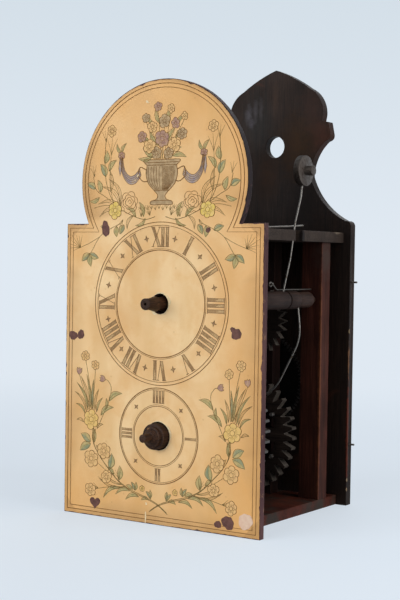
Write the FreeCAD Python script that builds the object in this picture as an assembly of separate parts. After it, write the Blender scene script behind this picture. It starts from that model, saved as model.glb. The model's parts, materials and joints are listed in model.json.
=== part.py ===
import FreeCAD, Part
import math
import os

# Wooden-wheel striking wall clock, about 1780: painted arch dial, open-sided case, two trains.
# Millimetres. While modelling, X runs to the right of the dial, Y from the dial's face to the
# wall and Z up from the base. The pieces are saved with the hanging hole at the wall as origin.

V = FreeCAD.Vector

# Dial board, with its painted sheet glued on
dial_width = 180.0
shoulder_height = 226.0
arch_radius = 76.0
arch_centre_rise = 31.5
dial_board_thickness = 5.5
quarter_height = 67.0
hour_height = 166.0
hour_hole_radius = 7.75
quarter_hole_radius = 10.75

# Case boards, posts and pillars
case_width = 132.0
head_room = 13.0
top_board_thickness = 8.4
top_board_overhang = 3.0
bottom_board_thickness = 8.0
post_width = 18.0
post_depth = 14.0
front_post_lead = 6.0
front_pillar_width = 26.0
train_pillar_width = 44.0
front_pillar_thickness = 10.0
middle_pillar_thickness = 10.0
rear_pillar_thickness = 12.0
tenon_shoulder = 2.5
joinery_gap = 0.05

# Backboard: a plain lower panel, a cove to a narrow waist, two ears and a pointed dome
backboard_width = 146.0
backboard_offset = 2.3
backboard_thickness = 8.0
backboard_shoulder_rise = 9.6
shoulder_round = 5.0
cove_hollow = 0.34
cove_drop = 0.40
waist_hollow = 3.5
waist_width = 69.0
waist_rise = 37.0
ear_width = 105.0
ear_low_rise = 66.0
ear_height = 15.5
ear_corner = 4.0
ear_round = 6.0
ear_taper = 2.0
ear_nick = 1.0
dome_width = 91.0
dome_rise = 88.0
dome_turn_share = 0.35
dome_bulge_share = 0.462
dome_bulge_drop = 0.345
apex_rise = 127.0
apex_flank_share = 0.19
apex_flank_drop = 7.5
hanging_hole_radius = 9.1
hanging_hole_rise = 62.6

# Depths of the bays between the pillars
going_bay = 36.0
strike_bay = 49.0
rear_bay = 19.0

# Running gear: wheels turn with side gaps, wire pivots run in drilled holes
dial_clearance = 1.0
end_gap = 0.6
side_gap = 1.2
shroud_thickness = 2.2
shroud_wall = 1.5
pivot_radius = 1.2
pivot_length = 4.0
running_gap = 0.05
seat_gap = 0.02
core_gap = 0.5
arbor_radius = 5.0
great_arbor_radius = 7.0
great_collar_step = 2.5
great_end_step = 1.5

# Tooth proportions: heights in modules, thicknesses as shares of the pitch
tooth_addendum = 1.15
tooth_dedendum = 2.0
root_share = 0.78
tip_share = 0.26
pin_radius_share = 0.48

# Flat sides that stand for round ones inside the case, to keep the faces few
pin_sides = 6
wire_sides = 8
pivot_sides = 8
arbor_sides = 8
drum_sides = 16

# Teeth, leaves and modules of the trains
great_teeth = 45
great_leaves = 6
great_module = 2.46
second_teeth = 48
second_leaves = 6
second_module = 1.443
idler_teeth = 32
idler_leaves = 8
idler_module = 2.3
hour_teeth = 24
hour_leaves = 8
strike_teeth = 36
strike_leaves = 6
strike_module = 2.5
locking_teeth = 48
locking_leaves = 8
locking_module = 1.475
warning_teeth = 24
warning_leaves = 6
warning_module = 2.17
count_teeth = 78
count_leaves = 6
count_module = 1.0

# Wheel thicknesses, rims and arms
great_wheel_thickness = 8.0
strike_wheel_thickness = 7.0
train_wheel_thickness = 6.0
motion_wheel_thickness = 4.0
rim_width = 8.0
arm_width = 11.0
arm_count = 4
wheel_hub_wall = 5.0
hub_wall = 2.0

# Places of the strike arbors, and the way each train leans from upright, in degrees
strike_height = 58.3
locking_lean = 2.0
warning_lean = 12.0
fly_lean = -45.0

# Noses of the two dial arbors, in front of the dial
hour_nose_length = 19.0
hour_tip_length = 6.0
hour_tip_radius = 4.35
hour_base_radius = 5.75
hour_hub_radius = 8.0
hour_seat_step = 1.5
hour_tip_hole_radius = 1.0
quarter_nose_length = 20.0
quarter_peg_length = 8.0
quarter_peg_radius = 3.1
quarter_cone_radius = 4.1
quarter_ring_radius = 6.55
quarter_ring_step = 1.2
quarter_hub_length = 6.5
quarter_hub_radius = 9.75
quarter_journal_radius = 6.0
motion_stud_radius = 2.0
idler_stud_radius = 2.5
stud_depth = 5.0

# Rope pulleys, ratchets and clicks
pulley_flange_radius = 21.0
pulley_groove_radius = 15.0
pulley_front_gap = 4.0
ratchet_teeth = 16
ratchet_tip_radius = 17.0
ratchet_root_radius = 13.5
ratchet_thickness = 3.0
ratchet_gap = 1.5
click_pivot_radius = 26.0
click_reach_angle = 30.0
click_hub_radius = 4.0
click_nose_width = 1.6
click_clearance = 0.7
click_pin_radius = 1.5

# Escapement
escape_teeth = 40
escape_tip_radius = 24.0
escape_tooth_height = 3.5
escape_wheel_thickness = 4.0
escape_station = 19.0
anchor_rise = 33.3
anchor_swing = 4.0
pallet_angle = 45.0
pallet_clearance = 0.7
pallet_width = 5.0
pallet_slope = 1.25
arm_rise = 6.5
anchor_hub_radius = 7.0
anchor_thickness = 5.0
anchor_arbor_radius = 4.0
anchor_journal_radius = 3.0
anchor_pass_gap = 1.0
crutch_length = 37.0
crutch_radius = 1.0
crutch_wall_gap = 4.5
crutch_end = 2.4

# Strike work
lifting_pin_count = 6
lifting_pin_circle = 34.0
lifting_pin_radius = 1.5
lifting_pin_length = 3.5
cam_radius = 16.0
cam_notch_depth = 5.0
cam_station = 16.0
cam_thickness = 4.0
fly_radius = 23.0
fly_blade_thickness = 1.5
fly_station = 8.0
fly_length = 24.0
strike_journal_radius = 4.0
count_stud_radius = 3.0
count_plate_radius = 30.0
count_plate_thickness = 2.5
count_notch_depth = 4.0
count_notch_width = 3.0
hours_on_dial = 12

# Hammer, on an arbor between the right-hand posts
hammer_offset = 58.0
hammer_height = 169.0
hammer_arbor_radius = 7.1
hammer_groove_depth = 1.4
hammer_groove_width = 1.6
hammer_end_step = 0.8
hammer_neck_length = 8.5
hammer_neck_radius = 3.0
far_groove_back = 46.0
near_groove_back = 29.0
wire_radius = 0.7
stem_foot_station = 37.5
stem_lean_back = 12.5
stem_lean_out = 10.6
head_rise = 100.4
head_radius = 11.8
head_thickness = 5.0
head_dish_depth = 1.5
head_peg_radius = 3.6
head_peg_end_radius = 4.0
head_peg_length = 6.5
tail_station = 62.5
tail_clearance = 0.6
tail_drop = 27.4
tail_drop_out = 2.9
tail_knee_out = 37.8
tail_knee_rise = 40.0
tail_end_angle = 58.8
stop_clearance = 0.35
stop_rise = 3.0
stop_length = 58.0
stop_foot_gap = 3.5
stop_lean = 4.0
stop_climb = 2.0
spring_radius = 0.6
spring_side_gap = 0.4
spring_end_gap = 30.0
spring_hook = 3.5
notch_depth = 10.0
notch_length = 10.5

# Strike lever, on an arbor between the left-hand posts
lever_offset = -58.0
lever_height = 150.0
lever_arbor_radius = 6.0
lever_clearance = 0.6
lift_pin_circle = 20.0
lift_pin_radius = 1.5
lift_pin_length = 3.0
lift_wire_gap = 3.2
lift_tip_angle = 140.0
lift_bend_out = 16.0
lift_bend_rise = 22.0
lock_tip_angle = 160.0
lock_bend_out = 12.0
lock_bend_rise = 14.0
count_tip_angle = 137.0
count_wire_gap = 6.0

# Slots in the bottom board for the ropes and the pendulum rod
rope_slot_length = 48.0
rope_slot_width = 10.0
pendulum_slot_length = 70.0
pendulum_slot_width = 8.0

# Door hinge wires in the edges of the backboard
hinge_wire_radius = 0.8
hinge_wire_length = 13.0
hinge_wire_out = 4.5
hinge_low_height = 50.0
hinge_high_height = 183.0


class Mesh:
    """A toothed wheel and the lantern pinion it works with."""

    def __init__(self, teeth, leaves, module):
        self.teeth = teeth
        self.leaves = leaves
        self.module = module
        self.wheel_r = teeth * module / 2
        self.pins_r = leaves * module / 2
        self.distance = self.wheel_r + self.pins_r
        self.tip_r = self.wheel_r + tooth_addendum * module
        self.root_r = self.wheel_r - tooth_dedendum * module
        self.pin_r = pin_radius_share * module
        self.shroud_r = self.pins_r + self.pin_r + shroud_wall
        self.core_r = self.pins_r - tooth_addendum * module - core_gap


great = Mesh(great_teeth, great_leaves, great_module)
second = Mesh(second_teeth, second_leaves, second_module)
idler = Mesh(idler_teeth, idler_leaves, idler_module)
hour_module = 2 * (hour_height - quarter_height - idler.distance) / (hour_teeth + hour_leaves)
hour = Mesh(hour_teeth, hour_leaves, hour_module)
strike = Mesh(strike_teeth, strike_leaves, strike_module)
locking = Mesh(locking_teeth, locking_leaves, locking_module)
warning = Mesh(warning_teeth, warning_leaves, warning_module)
count = Mesh(count_teeth, count_leaves, count_module)


def lean_from(start, distance, lean):
    """The point at a distance from start, leaning to the right of upright by lean degrees."""
    a = math.radians(lean)
    return (start[0] + distance * math.sin(a), start[1] + distance * math.cos(a))


# Arbor places as (X, Z)
going_at = (0.0, quarter_height)
second_at = lean_from(going_at, great.distance, 0)
escape_at = lean_from(second_at, second.distance, 0)
anchor_at = lean_from(escape_at, anchor_rise, 0)
idler_at = lean_from(going_at, idler.distance, 0)
hour_at = lean_from(idler_at, hour.distance, 0)
strike_at = (0.0, strike_height)
locking_at = lean_from(strike_at, strike.distance, locking_lean)
warning_at = lean_from(locking_at, locking.distance, warning_lean)
fly_at = lean_from(warning_at, warning.distance, fly_lean)
count_at = lean_from(strike_at, count.distance, 0)
hammer_at = (hammer_offset, hammer_height)
lever_at = (lever_offset, lever_height)

# Stations along the depth, from the dial's face
y_dial_back = dial_board_thickness
idler_shroud_y = y_dial_back + dial_clearance
hour_wheel_y = idler_shroud_y + shroud_thickness + side_gap
idler_wheel_y = hour_wheel_y + motion_wheel_thickness + 2 * side_gap
y_front = idler_wheel_y + motion_wheel_thickness + side_gap + shroud_thickness + end_gap
y_going = y_front + front_pillar_thickness
y_middle = y_going + going_bay
y_strike = y_middle + middle_pillar_thickness
y_rear = y_strike + strike_bay
y_count = y_rear + rear_pillar_thickness
y_back = y_count + rear_bay
y_wall = y_back + backboard_thickness
shroud_room = end_gap + shroud_thickness + side_gap
great_wheel_y = y_middle - shroud_room - great_wheel_thickness
second_wheel_y = y_going + shroud_room
escape_wheel_y = y_going + escape_station
strike_wheel_y = y_rear - shroud_room - strike_wheel_thickness
locking_wheel_y = y_strike + shroud_room
warning_wheel_y = y_rear - shroud_room - train_wheel_thickness
count_wheel_y = y_count + shroud_room
front_post_y = y_going - front_post_lead
rear_post_y = y_rear
front_post_back = front_post_y + post_depth
top_board_bottom = anchor_at[1] + head_room
case_height = top_board_bottom + top_board_thickness
half_case = case_width / 2
hanging_hole_at = (backboard_offset, case_height + backboard_shoulder_rise + hanging_hole_rise)
origin = V(hanging_hole_at[0], y_wall, hanging_hole_at[1])


def box(x0, x1, y0, y1, z0, z1):
    return Part.makeBox(x1 - x0, y1 - y0, z1 - z0, V(x0, y0, z0))


def rod(at, y0, y1, radius):
    """A round rod along Y."""
    return Part.makeCylinder(radius, y1 - y0, V(at[0], y0, at[1]), V(0, 1, 0))


def drill(shape, at, y0, y1, radius):
    return shape.cut(rod(at, y0, y1, radius))


def ring_of(centre, along, radius, sides):
    """A closed polygon of equal sides round a point, square to a direction."""
    along = V(along).normalize()
    helper = V(0, 0, 1) if abs(along.z) < 0.9 else V(0, 1, 0)
    u = along.cross(helper).normalize()
    w = along.cross(u)
    points = []
    for i in range(sides + 1):
        a = 2 * math.pi * (i % sides) / sides
        points.append(centre + u * (radius * math.cos(a)) + w * (radius * math.sin(a)))
    return Part.makePolygon(points)


def bar(at, y0, y1, radius, sides):
    """A flat-sided bar along Y, its corners on the radius."""
    return Part.Face(ring_of(V(at[0], y0, at[1]), V(0, 1, 0), radius, sides)).extrude(V(0, y1 - y0, 0))


def seat(shape, at, y0, y1, radius, sides):
    """A hole in which a bar of the same sides sits."""
    return shape.cut(bar(at, y0, y1, radius + seat_gap, sides))


def journal(shape, at, y0, y1, radius, sides):
    """A hole whose flats stay off the turning corners of a bar of the radius."""
    return shape.cut(bar(at, y0, y1, (radius + running_gap) / math.cos(math.pi / sides), sides))


def sleeve(shape, at, y0, y1, radius, sides):
    """A flat-sided hole that grips a round pin of the radius."""
    return shape.cut(bar(at, y0, y1, (radius + seat_gap) / math.cos(math.pi / sides), sides))


def drum(at, sides, *stations):
    """A flat-sided drum along Y that goes from ring to ring, each station (Y, radius)."""
    rings = [ring_of(V(at[0], y, at[1]), V(0, 1, 0), radius, sides) for y, radius in stations]
    corners = [[v.Point for v in ring.OrderedVertexes][:sides] for ring in rings]
    faces = [Part.Face(rings[0]), Part.Face(rings[-1])]
    for low, high in zip(corners, corners[1:]):
        for i in range(sides):
            j = (i + 1) % sides
            faces.append(Part.Face(Part.makePolygon([low[i], low[j], high[j], high[i], low[i]])))
    return Part.Solid(Part.Shell(faces))


def stepped(at, y_start, sides, *stages):
    """A stepped arbor along Y, each stage (end station, radius); a pivot at its front is truly round."""
    shape = None
    y = y_start
    for end, radius in stages:
        if shape is None and radius == pivot_radius:
            shape = rod(at, y, end, radius)
        else:
            step = bar(at, y, end, radius, pivot_sides if radius == pivot_radius else sides)
            shape = step if shape is None else shape.fuse(step)
        y = end
    return shape.removeSplitter()


def bent_wire(points, radius):
    """A wire through the points, mitred at each bend, with few flat sides."""
    sweep = Part.BRepOffsetAPI.MakePipeShell(Part.makePolygon(points))
    sweep.setTransitionMode(1)
    sweep.add(ring_of(points[0], points[1] - points[0], radius, wire_sides), False, False)
    sweep.build()
    sweep.makeSolid()
    return sweep.shape()


def polar(at, radius, angle, y):
    return V(at[0] + radius * math.cos(angle), y, at[1] + radius * math.sin(angle))


def prism(points, depth):
    """A plate of the given outline, drawn at its front and running back."""
    return Part.Face(Part.makePolygon(points + points[:1])).extrude(V(0, depth, 0))


def aim(start, end):
    return math.atan2(end[1] - start[1], end[0] - start[0])


def toothed_plate(mesh, at, y, thickness, angle, stages):
    """A plate with tapered teeth, one centred on angle, each stage a radius and a share of half a pitch."""
    points = []
    half_pitch = math.pi * mesh.module / 2
    for i in range(mesh.teeth):
        middle = angle + 2 * math.pi * i / mesh.teeth
        for radius, share in stages:
            points.append(polar(at, radius, middle + share * half_pitch / radius, y))
    return prism(points, thickness)


def saw_plate(teeth, tip_r, root_r, at, y, thickness):
    """A plate with saw teeth, steep on one side."""
    points = []
    for i in range(teeth):
        angle = 2 * math.pi * i / teeth
        points.append(polar(at, root_r, angle, y))
        points.append(polar(at, tip_r, angle, y))
    return prism(points, thickness)


def open_arms(plate, at, y, thickness, rim_r, hub_r):
    """Cut the spaces between the arms of a wheel."""
    ring = bar(at, y, y + thickness, rim_r, drum_sides).cut(bar(at, y, y + thickness, hub_r, pivot_sides))
    for i in range(arm_count // 2):
        arm = box(at[0] - arm_width / 2, at[0] + arm_width / 2, y, y + thickness,
                  at[1] - rim_r, at[1] + rim_r)
        arm.rotate(V(at[0], 0, at[1]), V(0, 1, 0), 360 * i / arm_count)
        ring = ring.cut(arm)
    return plate.cut(ring)


def great_wheel(mesh, at, pinion_at, y, thickness, bore):
    """A large wheel with blunt teeth and arms, meshing with the pinion at pinion_at."""
    blunt = ((mesh.root_r, -root_share), (mesh.tip_r, -tip_share),
             (mesh.tip_r, tip_share), (mesh.root_r, root_share))
    plate = toothed_plate(mesh, at, y, thickness, aim(at, pinion_at), blunt)
    plate = open_arms(plate, at, y, thickness, mesh.root_r - rim_width, bore + wheel_hub_wall)
    return seat(plate, at, y, y + thickness, bore, arbor_sides)


def pointed_plate(mesh, at, pinion_at, y, thickness):
    return toothed_plate(mesh, at, y, thickness, aim(at, pinion_at), ((mesh.root_r, -1), (mesh.tip_r, 0)))


def wheel(mesh, at, pinion_at, y, thickness, bore):
    """A disc wheel with pointed teeth, meshing with the pinion at pinion_at."""
    return seat(pointed_plate(mesh, at, pinion_at, y, thickness), at, y, y + thickness, bore, arbor_sides)


def pins(mesh, at, wheel_at, y0, y1):
    """The pins of a lantern pinion, two of them astride the wheel's nearest tooth."""
    first = aim(at, wheel_at) + math.pi / mesh.leaves
    group = []
    for i in range(mesh.leaves):
        place = polar(at, mesh.pins_r, first + 2 * math.pi * i / mesh.leaves, y0)
        group.append(bar((place.x, place.z), y0, y1, mesh.pin_r, pin_sides))
    return Part.makeCompound(group)


def shroud_stations(wheel_y, thickness):
    """Front and back stations of the two shrouds beside a wheel."""
    front = wheel_y - side_gap - shroud_thickness
    back = wheel_y + thickness + side_gap
    return front, front + shroud_thickness, back, back + shroud_thickness


def save(name, shape):
    placed = shape.copy()
    placed.translate(-origin)
    if not placed.isValid():
        raise ValueError(name + " is not a valid shape")
    placed.exportStep("parts/" + name + ".step")


# Dial board and backboard


def dial_plate():
    y = 0
    half = dial_width / 2
    arch_centre = shoulder_height + arch_centre_rise
    neck = math.sqrt(arch_radius ** 2 - arch_centre_rise ** 2)
    corners = [V(neck, y, shoulder_height), V(half, y, shoulder_height), V(half, y, 0),
               V(-half, y, 0), V(-half, y, shoulder_height), V(-neck, y, shoulder_height)]
    arch = Part.Arc(corners[-1], V(0, y, arch_centre + arch_radius), corners[0]).toShape()
    outline = Part.Wire(Part.makePolygon(corners).Edges + [arch])
    plate = Part.Face(outline).extrude(V(0, dial_board_thickness, 0))
    plate = drill(plate, hour_at, y, y_dial_back, hour_hole_radius)
    return drill(plate, going_at, y, y_dial_back, quarter_hole_radius)


def backboard_half():
    """Right-hand outline of the backboard, from the base to the apex, as edges at its front."""

    def at(x, rise):
        return V(x, y_back, case_height + backboard_shoulder_rise + rise)

    ear_top_rise = ear_low_rise + ear_height
    foot = V(backboard_width / 2, y_back, 0)
    shoulder = at(backboard_width / 2, -shoulder_round)
    round_shoulder = at(backboard_width / 2 - shoulder_round / 4, -shoulder_round / 4)
    shoulder_top = at(backboard_width / 2 - shoulder_round, 0)
    cove_x = (backboard_width * cove_hollow + waist_width * (1 - cove_hollow)) / 2
    cove = at(cove_x, waist_rise * cove_drop)
    waist = at(waist_width / 2, waist_rise)
    hollow = at(waist_width / 2 + waist_hollow, (waist_rise + ear_low_rise) / 2 + ear_nick)
    ear_low = at(ear_width / 2 - ear_corner, ear_low_rise)
    round_ear = at(ear_width / 2 - ear_corner / 4, ear_low_rise + ear_round / 4)
    ear_side = at(ear_width / 2, ear_low_rise + ear_round)
    ear_top = at(ear_width / 2 - ear_taper, ear_top_rise)
    nick = at(dome_width / 2 - ear_nick, ear_top_rise + ear_nick)
    dome_side = at(dome_width / 2, dome_rise)
    dome_bulge = at(dome_width * dome_bulge_share, dome_rise + (apex_rise - dome_rise) * dome_bulge_drop)
    dome_top = at(dome_width * dome_turn_share, (dome_rise + apex_rise + ear_round) / 2)
    flank = at(dome_width * apex_flank_share, apex_rise - apex_flank_drop)
    apex = at(0, apex_rise)
    return [
        Part.LineSegment(foot, shoulder).toShape(),
        Part.Arc(shoulder, round_shoulder, shoulder_top).toShape(),
        Part.Arc(shoulder_top, cove, waist).toShape(),
        Part.Arc(waist, hollow, ear_low).toShape(),
        Part.Arc(ear_low, round_ear, ear_side).toShape(),
        Part.LineSegment(ear_side, ear_top).toShape(),
        Part.LineSegment(ear_top, nick).toShape(),
        Part.LineSegment(nick, dome_side).toShape(),
        Part.Arc(dome_side, dome_bulge, dome_top).toShape(),
        Part.Arc(dome_top, flank, apex).toShape(),
    ]


def hinge_wires(gap):
    """Wire stubs in both side edges of the backboard."""
    group = []
    for side in (-1, 1):
        for z in (hinge_low_height, hinge_high_height):
            outer = V(backboard_offset + side * (backboard_width / 2 + hinge_wire_out),
                      y_back + backboard_thickness / 2, z)
            inner = outer - V(side * hinge_wire_length, 0, 0)
            group.append(bent_wire([inner, outer], hinge_wire_radius + gap))
    return Part.makeCompound(group)


right_half = Part.Wire(backboard_half())
left_half = right_half.mirror(V(0, 0, 0), V(1, 0, 0))
base_line = Part.LineSegment(V(-backboard_width / 2, y_back, 0), V(backboard_width / 2, y_back, 0))
backboard_outline = Part.Wire(Part.__sortEdges__(
    right_half.Edges + left_half.Edges + [base_line.toShape()]))
backboard = Part.Face(backboard_outline).extrude(V(0, backboard_thickness, 0))
backboard.translate(V(backboard_offset, 0, 0))
backboard = drill(backboard, hanging_hole_at, y_back, y_wall, hanging_hole_radius)
backboard = backboard.cut(hinge_wires(joinery_gap))

# Boards with through mortises, posts and pillars with tenons


class Upright:
    """A post or pillar standing between the boards, with a tenon through each."""

    def __init__(self, middle_x, width, y0, depth):
        self.sides = (middle_x - width / 2, middle_x + width / 2, y0, y0 + depth)

    def tenons(self, gap):
        x0, x1, y0, y1 = self.sides
        shrink = tenon_shoulder - gap
        return box(x0 + shrink, x1 - shrink, y0 + shrink, y1 - shrink, 0, case_height)

    def solid(self):
        shaft = box(*self.sides, bottom_board_thickness, top_board_bottom)
        return shaft.fuse(self.tenons(0)).removeSplitter()


post_middle = half_case - post_width / 2
uprights = {
    "front_left_post": Upright(-post_middle, post_width, front_post_y, post_depth),
    "front_right_post": Upright(post_middle, post_width, front_post_y, post_depth),
    "rear_left_post": Upright(-post_middle, post_width, rear_post_y, post_depth),
    "rear_right_post": Upright(post_middle, post_width, rear_post_y, post_depth),
    "front_pillar": Upright(0, front_pillar_width, y_front, front_pillar_thickness),
    "middle_pillar": Upright(0, train_pillar_width, y_middle, middle_pillar_thickness),
    "rear_pillar": Upright(0, train_pillar_width, y_rear, rear_pillar_thickness),
}


def case_board(z0, z1, overhang):
    half_board = half_case + overhang
    board = box(-half_board, half_board, y_dial_back, y_back, z0, z1)
    for upright in uprights.values():
        board = board.cut(upright.tenons(joinery_gap))
    return board


# Pulleys: a groove between two flanges, and ratchet teeth cut behind the rear one


def pulley_stations(wheel_y):
    ratchet_back = wheel_y - ratchet_gap
    back = ratchet_back - ratchet_thickness
    front = back - (great_wheel_y - ratchet_gap - ratchet_thickness - y_going - pulley_front_gap)
    return front, back, ratchet_back


def groove_middle(wheel_y):
    front, back, ratchet_back = pulley_stations(wheel_y)
    return (front + back) / 2


def pulley(at, wheel_y):
    front, back, ratchet_back = pulley_stations(wheel_y)
    middle = (front + back) / 2
    spool = drum(at, drum_sides, (front, pulley_flange_radius), (middle, pulley_groove_radius),
                 (back, pulley_flange_radius))
    ratchet = saw_plate(ratchet_teeth, ratchet_tip_radius, ratchet_root_radius, at, back,
                        ratchet_thickness)
    return journal(spool.fuse(ratchet), at, front, ratchet_back, great_arbor_radius, arbor_sides)


def click_place(at):
    return (at[0], at[1] + click_pivot_radius)


def click(at, wheel_y):
    """A click on the wheel's upper arm, its nose held just off the ratchet's tips."""
    y = wheel_y - ratchet_gap - ratchet_thickness
    pivot = click_place(at)
    nose_r = ratchet_tip_radius + click_clearance + click_nose_width / 2
    nose = polar(at, nose_r, math.pi / 2 - math.radians(click_reach_angle), y)
    along = (nose - V(pivot[0], y, pivot[1])).normalize()
    across = V(along.z, 0, -along.x)
    start = V(pivot[0], y, pivot[1])
    wide = click_hub_radius * math.cos(math.pi / arbor_sides)
    arm = prism([start + across * wide, start - across * wide,
                 nose - across * (click_nose_width / 2), nose + across * (click_nose_width / 2)],
                ratchet_thickness)
    hub = bar(pivot, y, y + ratchet_thickness, click_hub_radius, arbor_sides)
    return journal(arm.fuse(hub).removeSplitter(), pivot, y, y + ratchet_thickness, click_pin_radius,
                   pivot_sides)


def click_pin(at, wheel_y, thickness):
    y = wheel_y - ratchet_gap - ratchet_thickness - end_gap
    return rod(click_place(at), y, wheel_y + thickness / 2, click_pin_radius)


# Going train


def lantern_stages(mesh, wheel_y, thickness):
    """Turned stages of a lantern pinion round a wheel's rim, after what lies in front of it."""
    a, b, c, d = shroud_stations(wheel_y, thickness)
    return (b, mesh.shroud_r), (c, mesh.core_r), (d, mesh.shroud_r)


def lantern(mesh, at, wheel_at, wheel_y, thickness):
    """The staves between the two shrouds beside a wheel."""
    a, b, c, d = shroud_stations(wheel_y, thickness)
    return pins(mesh, at, wheel_at, b, c)


motion_front = shroud_stations(idler_wheel_y, motion_wheel_thickness)[0]
nose_end = -quarter_nose_length
peg_end = nose_end + quarter_peg_length
ring_end = -quarter_hub_length
collar_start = (peg_end + ring_end) / 2
quarter_peg = rod(going_at, nose_end, peg_end, quarter_peg_radius)
quarter_cone = drum(going_at, drum_sides, (peg_end, quarter_cone_radius), (collar_start, quarter_ring_radius))
quarter_hub = stepped(going_at, collar_start, drum_sides,
                      (ring_end, quarter_ring_radius + quarter_ring_step),
                      (motion_front, quarter_hub_radius))
going_arbor = quarter_peg.fuse([quarter_cone, quarter_hub]).fuse(stepped(
    going_at, motion_front, arbor_sides,
    *lantern_stages(idler, idler_wheel_y, motion_wheel_thickness),
    (y_going + end_gap, quarter_journal_radius),
    (y_going + pulley_front_gap - side_gap, great_arbor_radius + great_collar_step),
    (great_wheel_y + great_wheel_thickness, great_arbor_radius),
    (y_middle - end_gap, great_arbor_radius - great_end_step),
    (y_middle + pivot_length, pivot_radius)))
motion_pinion_pins = lantern(idler, going_at, idler_at, idler_wheel_y, motion_wheel_thickness)
lift_pin_at = lean_from(going_at, lift_pin_circle, 180)
lift_pin = bar(lift_pin_at, great_wheel_y + great_wheel_thickness / 2,
               great_wheel_y + great_wheel_thickness + lift_pin_length, lift_pin_radius, pin_sides)
going_pins = Part.makeCompound([click_pin(going_at, great_wheel_y, great_wheel_thickness), lift_pin])
going_great_wheel = great_wheel(great, going_at, second_at, great_wheel_y, great_wheel_thickness,
                                great_arbor_radius).cut(lift_pin)
going_great_wheel = sleeve(going_great_wheel, click_place(going_at), great_wheel_y,
                           great_wheel_y + great_wheel_thickness / 2, click_pin_radius, pivot_sides)


def pinion_arbor(at, mesh, driver_y, driver_thickness, y0, y1):
    """A turned arbor between two pillars with a lantern pinion at its driving wheel."""
    a, b, c, d = shroud_stations(driver_y, driver_thickness)
    stages = [(y0 + end_gap, pivot_radius)]
    if a > y0 + end_gap + seat_gap:
        stages.append((a, arbor_radius))
    stages += lantern_stages(mesh, driver_y, driver_thickness)
    if y1 - end_gap > d + seat_gap:
        stages.append((y1 - end_gap, arbor_radius))
    stages.append((y1 + pivot_length, pivot_radius))
    return stepped(at, y0 - pivot_length, arbor_sides, *stages)


second_arbor = pinion_arbor(second_at, great, great_wheel_y, great_wheel_thickness,
                            y_going, y_middle)
second_pinion_pins = lantern(great, second_at, going_at, great_wheel_y, great_wheel_thickness)
second_wheel = wheel(second, second_at, escape_at, second_wheel_y, train_wheel_thickness, arbor_radius)
escape_arbor = pinion_arbor(escape_at, second, second_wheel_y, train_wheel_thickness,
                            y_going, y_middle)
escape_pinion_pins = lantern(second, escape_at, second_at, second_wheel_y, train_wheel_thickness)
escape_wheel = saw_plate(escape_teeth, escape_tip_radius, escape_tip_radius - escape_tooth_height,
                         escape_at, escape_wheel_y, escape_wheel_thickness)
escape_wheel = open_arms(escape_wheel, escape_at, escape_wheel_y, escape_wheel_thickness,
                         escape_tip_radius - 2 * escape_tooth_height, arbor_radius + wheel_hub_wall)
escape_wheel = seat(escape_wheel, escape_at, escape_wheel_y,
                    escape_wheel_y + escape_wheel_thickness, arbor_radius, arbor_sides)


# Anchor and crutch: the arbor runs right through to the back, where the pendulum hangs
crutch_y = y_back - crutch_wall_gap
anchor_arbor = stepped(
    anchor_at, y_going - pivot_length, arbor_sides,
    (y_going + end_gap, pivot_radius),
    (y_rear - end_gap, anchor_arbor_radius),
    (crutch_y + crutch_end, anchor_journal_radius))


def crutch_path():
    top = V(anchor_at[0], crutch_y, anchor_at[1] + anchor_journal_radius + crutch_end)
    low = V(anchor_at[0], crutch_y, anchor_at[1] - crutch_length)
    return [top, low, low + V(0, crutch_end, -crutch_radius)]


def anchor_plate():
    """Two pallet arms over the escape wheel, clear of its tips at both ends of the swing."""
    y = escape_wheel_y - (anchor_thickness - escape_wheel_thickness) / 2
    angle = math.radians(pallet_angle)
    arm = math.hypot(escape_tip_radius * math.sin(angle),
                     anchor_rise - escape_tip_radius * math.cos(angle))
    tip_r = escape_tip_radius + arm * math.radians(anchor_swing) + pallet_clearance
    inner = polar(escape_at, tip_r, math.pi / 2 - angle, y)
    outer = inner + V(pallet_width, 0, pallet_slope)
    elbow = inner + V(pallet_width - pallet_slope, 0, arm_rise + pallet_width / 2)
    crook = inner + V(-pallet_slope, 0, arm_rise)
    crown = V(anchor_at[0], y, anchor_at[1] + anchor_hub_radius)
    belly = V(anchor_at[0], y, anchor_at[1] - anchor_hub_radius + pallet_slope)
    right = [outer, inner, crook]
    left = [V(2 * anchor_at[0] - p.x, p.y, p.z) for p in reversed(right)]
    far_elbow = V(2 * anchor_at[0] - elbow.x, elbow.y, elbow.z)
    plate = prism([crown, elbow] + right + [belly] + left + [far_elbow], anchor_thickness)
    hub = bar(anchor_at, y, y + anchor_thickness, anchor_hub_radius, arbor_sides)
    return seat(plate.fuse(hub).removeSplitter(), anchor_at, y, y + anchor_thickness,
                anchor_arbor_radius, arbor_sides)


crutch = bent_wire(crutch_path(), crutch_radius)
anchor_arbor = anchor_arbor.cut(bent_wire(crutch_path(), crutch_radius + seat_gap))


# Motion work behind the dial: idler on a stud, hour pipe on a stud
idler_front = idler_shroud_y
idler_back = idler_wheel_y + motion_wheel_thickness
idler_barrel = stepped(idler_at, idler_front, arbor_sides,
                       (idler_front + shroud_thickness, hour.shroud_r),
                       (idler_wheel_y, hour.core_r),
                       (idler_back, arbor_radius),
                       (y_front - end_gap, arbor_radius + hub_wall))
idler_barrel = journal(idler_barrel, idler_at, idler_front, y_front, idler_stud_radius, pivot_sides)
idler_pins = pins(hour, idler_at, hour_at, idler_front + shroud_thickness, idler_wheel_y)
idler_wheel = wheel(idler, idler_at, going_at, idler_wheel_y, motion_wheel_thickness, arbor_radius)
idler_stud = rod(idler_at, idler_front, y_front + stud_depth, idler_stud_radius)

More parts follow.
